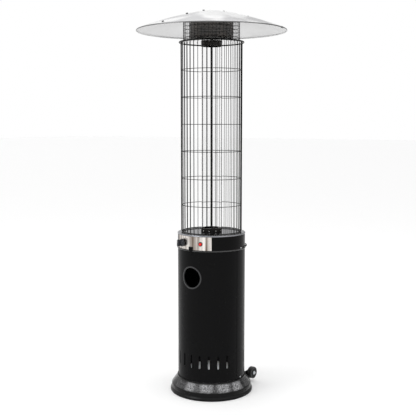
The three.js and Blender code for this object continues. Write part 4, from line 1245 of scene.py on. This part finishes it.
turn_into(shape, rounded(lap, 0.3 * mm), steps=2, start=45, sweep=2)
drum = as_piece("perforated_drum", shape, drum_steel)
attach(drum, "heater")
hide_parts("emitter_drum")

reflector_radius, reflector_rise = 369 * mm, 96 * mm
rim_height = guard_top + 57 * mm


def dome(radius):
    """Height of the reflector's upper face."""
    return rim_height + reflector_rise * (1 - (radius / reflector_radius) ** 1.44)


lid_low, lid_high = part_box("drum_lid")
stud_place, stud_radius = 60 * mm, 3 * mm
shape = bmesh.new()
turn_into(shape, rounded(plug(drum_radius + mm, lid_low.z, lid_low.z + 1.5 * mm), 0.4 * mm), steps=144)
stud = rounded(plug(stud_radius, lid_low.z, lid_high.z), 0.6 * mm)
for i in range(3):
    at = Matrix.Translation(polar(stud_place, reflector_seam + 120 * i, 0))
    turn_into(shape, stud, steps=20, place=at)
lid_piece = as_piece("drum_cover", shape, hot_steel)
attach(lid_piece, "heater")
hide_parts("drum_lid")

# ---------------------------------------------------------------------------------------------
# Mesh cage: a fine welded mesh of stainless wire round the drum, darkened by heat, that keeps
# fingers off the hot face. It stands on the support plate and ends under the reflector.
# ---------------------------------------------------------------------------------------------
cage_low, cage_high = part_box("mesh_cage_1")
mesh_radius = 138.4 * mm
mesh_wire, edge_wire = 1.0 * mm, 1.1 * mm
uprights, courses = 48, 7
upright_ends = (cage_low.z + 0.4 * mm, cage_high.z - 0.4 * mm)
shape = bmesh.new()
for i in range(uprights):
    ends = [polar(mesh_radius, 360 * i / uprights, z) for z in upright_ends]
    sweep_rod(shape, ends, mesh_wire, sides=6)
for k in range(courses + 1):
    height = cage_low.z + mm + (cage_high.z - cage_low.z - 2 * mm) * k / courses
    hoop(shape, mesh_radius, height, edge_wire if k in (0, courses) else mesh_wire, steps=96)
mesh_steel = steel(
    "mesh_steel", Steel=(0.03, 0.029, 0.028), Tarnish=(0.012, 0.011, 0.01), Tarnish_Amount=0.6,
    Tarnish_Scale=(14.0, 14.0, 14.0), Line_Scale=(300.0, 300.0, 300.0), Shine=0.35,
)
cage = as_piece("welded_mesh", shape, mesh_steel, 70)
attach(cage, "heater")
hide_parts(*(f"mesh_cage_{i + 1}" for i in range(4)))

# ---------------------------------------------------------------------------------------------
# Reflector: three stainless petals bolted edge to edge into one dome with a rolled rim. The top
# is polished, and the inside has a fine satin grain from rolling.
# ---------------------------------------------------------------------------------------------
reflector_wall, petal_gap = 1.2 * mm, 0.05
dome_steps = 40
upper = []
for i in range(dome_steps + 1):
    radius = (i / dome_steps) * (reflector_radius - 2 * mm)
    upper.append((radius, dome(radius)))
lower = [(radius, height - reflector_wall) for radius, height in upper][::-1]
rim = [
    (reflector_radius - 0.6 * mm, rim_height - 0.4 * mm), (reflector_radius, rim_height - 1.6 * mm),
    (reflector_radius, rim_height - 4 * mm), (reflector_radius - 1 * mm, rim_height - 5 * mm),
    (reflector_radius - 2.4 * mm, rim_height - 4.6 * mm), (reflector_radius - 3 * mm, rim_height - 3 * mm),
]
reflector_steel, tree, shader = material("reflector_steel", metallic=1.0)
satin = use(
    tree, worked_steel, Steel=(0.64, 0.64, 0.64), Tarnish=(0.54, 0.54, 0.54), Tarnish_Amount=0.5,
    Tarnish_Scale=(5.0, 5.0, 5.0), Line_Scale=(60.0, 60.0, 300.0), Shine=0.3, Shine_Spread=0.12,
)
# Painted highlight and reflection: faces turned up are painted near white with grey crescent patches, and the
# underside keeps the satin steel colour.
texture_place = add(tree, "TexCoord")
swell = add(tree, "TexNoise", {"Vector": texture_place.outputs["Object"], "Scale": 5.5, "Detail": 1.0})
top_painted_reflection = blend_of(
    tree, span(tree, swell.outputs["Fac"], 0.5, 0.62, 0.0, 1.0), (0.98, 0.98, 0.98), (0.66, 0.66, 0.67)
)
facing = add(tree, "SeparateXYZ", {0: texture_place.outputs["Normal"]}).outputs["Z"]
colour = blend_of(tree, span(tree, facing, -0.1, 0.1, 0.0, 1.0), satin.outputs["Color"], top_painted_reflection)
spot = add(tree, "SeparateXYZ", {0: texture_place.outputs["Object"]})
reach = math_of(
    tree, "SQRT", math_of(tree, "ADD", *(math_of(tree, "POWER", spot.outputs[axis], 2.0) for axis in "XY"))
)
# Painted shade: a dark grey line painted round the outer edge of the rim stands in for the shade under its
# roll.
edge = span(tree, reach, reflector_radius - 2.4 * mm, reflector_radius - 1.2 * mm, 0.0, 0.85)
tree.links.new(blend_of(tree, edge, colour, (0.09, 0.09, 0.09)), shader.inputs["Base Color"])
tree.links.new(satin.outputs["Roughness"], shader.inputs["Roughness"])
bump(tree, shader, satin.outputs["Height"], 0.00003)
for i in range(3):
    shape = bmesh.new()
    start = reflector_seam + 120 * i + petal_gap
    turn_into(shape, upper + rim + lower, steps=60, start=start, sweep=120 - 2 * petal_gap)
    petal = as_piece(f"reflector_petal_{i + 1}", shape, reflector_steel, 40)
    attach(petal, "heater")
    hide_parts(f"reflector_panel_{i + 1}")

seam_bolts = (180 * mm, 345 * mm)
shape = bmesh.new()
for i in range(3):
    angle = reflector_seam + 120 * i
    for radius in (stud_place, *seam_bolts):
        slope = math.atan2(dome(radius - 5 * mm) - dome(radius + 5 * mm), 10 * mm)
        lean = Matrix.Rotation(math.radians(angle), 4, "Z") @ Matrix.Rotation(slope, 4, "X")
        for side, tall in ((1, 4.5 * mm), (-1, 2.6 * mm)):
            start = dome(radius) if side > 0 else dome(radius) - reflector_wall
            at = Matrix.Translation(polar(radius, angle, start)) @ lean
            nut = [(0, 0), (5.5 * mm, 0), (5.2 * mm, side * tall), (0, side * tall)]
            turn_into(shape, nut, steps=6, place=at)
dark_zinc = steel(
    "dark_zinc", Steel=(0.16, 0.16, 0.165), Tarnish=(0.07, 0.07, 0.07), Tarnish_Scale=(60.0, 60.0, 60.0),
    Line_Scale=(300.0, 300.0, 300.0), Shine=0.4,
)
nuts = as_piece("reflector_nuts", shape, dark_zinc)
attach(nuts, "heater")

# ---------------------------------------------------------------------------------------------
# Studio: a plain pale floor, a white surround, soft area lights from the left and from above, and
# a faint one in the bottle bay that lights the tray behind the vent slots.
# ---------------------------------------------------------------------------------------------
floor_shape = bmesh.new()
bmesh.ops.create_grid(floor_shape, x_segments=8, y_segments=8, size=60)
floor_finish, tree, shader = material("floor_finish", roughness=0.7, specular=0.2)
place = add(tree, "TexCoord").outputs["Object"]
cloud = add(tree, "TexNoise", {"Vector": place, "Scale": 3.0, "Detail": 3.0})
tree.links.new(
    blend_of(tree, cloud.outputs["Fac"], (0.985, 0.985, 0.985), (0.995, 0.995, 0.995)),
    shader.inputs["Base Color"],
)
floor = as_piece("studio_floor", floor_shape, floor_finish)
floor.location.z = -0.0005
floor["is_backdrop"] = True

scene.view_settings.view_transform = "Standard"
surround = bpy.data.worlds.new("surround")
scene.world = surround
surround.use_nodes = True
tree = surround.node_tree
backdrop = tree.nodes["Background"]
rays = add(tree, "LightPath")
seen = math_of(tree, "MAXIMUM", rays.outputs["Is Camera Ray"], rays.outputs["Is Transmission Ray"])
direction = add(tree, "SeparateXYZ", {0: add(tree, "TexCoord").outputs["Generated"]})
height_shade = span(tree, direction.outputs["Z"], -0.2, 0.9, 0.84, 1.12)
behind_shade = span(tree, direction.outputs["Y"], 0.45, 0.95, 1.0, 0.45)
shade = math_of(tree, "MULTIPLY", height_shade, behind_shade)
grey = add(tree, "CombineColor", {"Red": shade, "Green": shade, "Blue": shade}).outputs[0]
tree.links.new(blend_of(tree, seen, grey, (1.0, 1.0, 1.0)), backdrop.inputs["Color"])


def soft_light(name, place, aim, size, power, spread=180):
    """Square area light pointed at a spot."""
    data = bpy.data.lights.new(name, "AREA")
    data.size = size
    data.energy = power
    data.spread = math.radians(spread)
    light = bpy.data.objects.new(name, data)
    scene.collection.objects.link(light)
    light.location = place
    light.rotation_euler = (Vector(aim) - Vector(place)).to_track_quat("-Z", "Y").to_euler()
    light.visible_camera = False


soft_light("key", (-1.6, -3.2, 3.6), (0, 0, 1.0), 2.0, 40)
soft_light("overhead", (0.2, 0.3, 4.4), (0, 0, 0), 3.0, 30)
soft_light("bay", (0, 0, 0.45), (0, 0, 0), 0.12, 0.33, spread=60)

low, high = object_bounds()
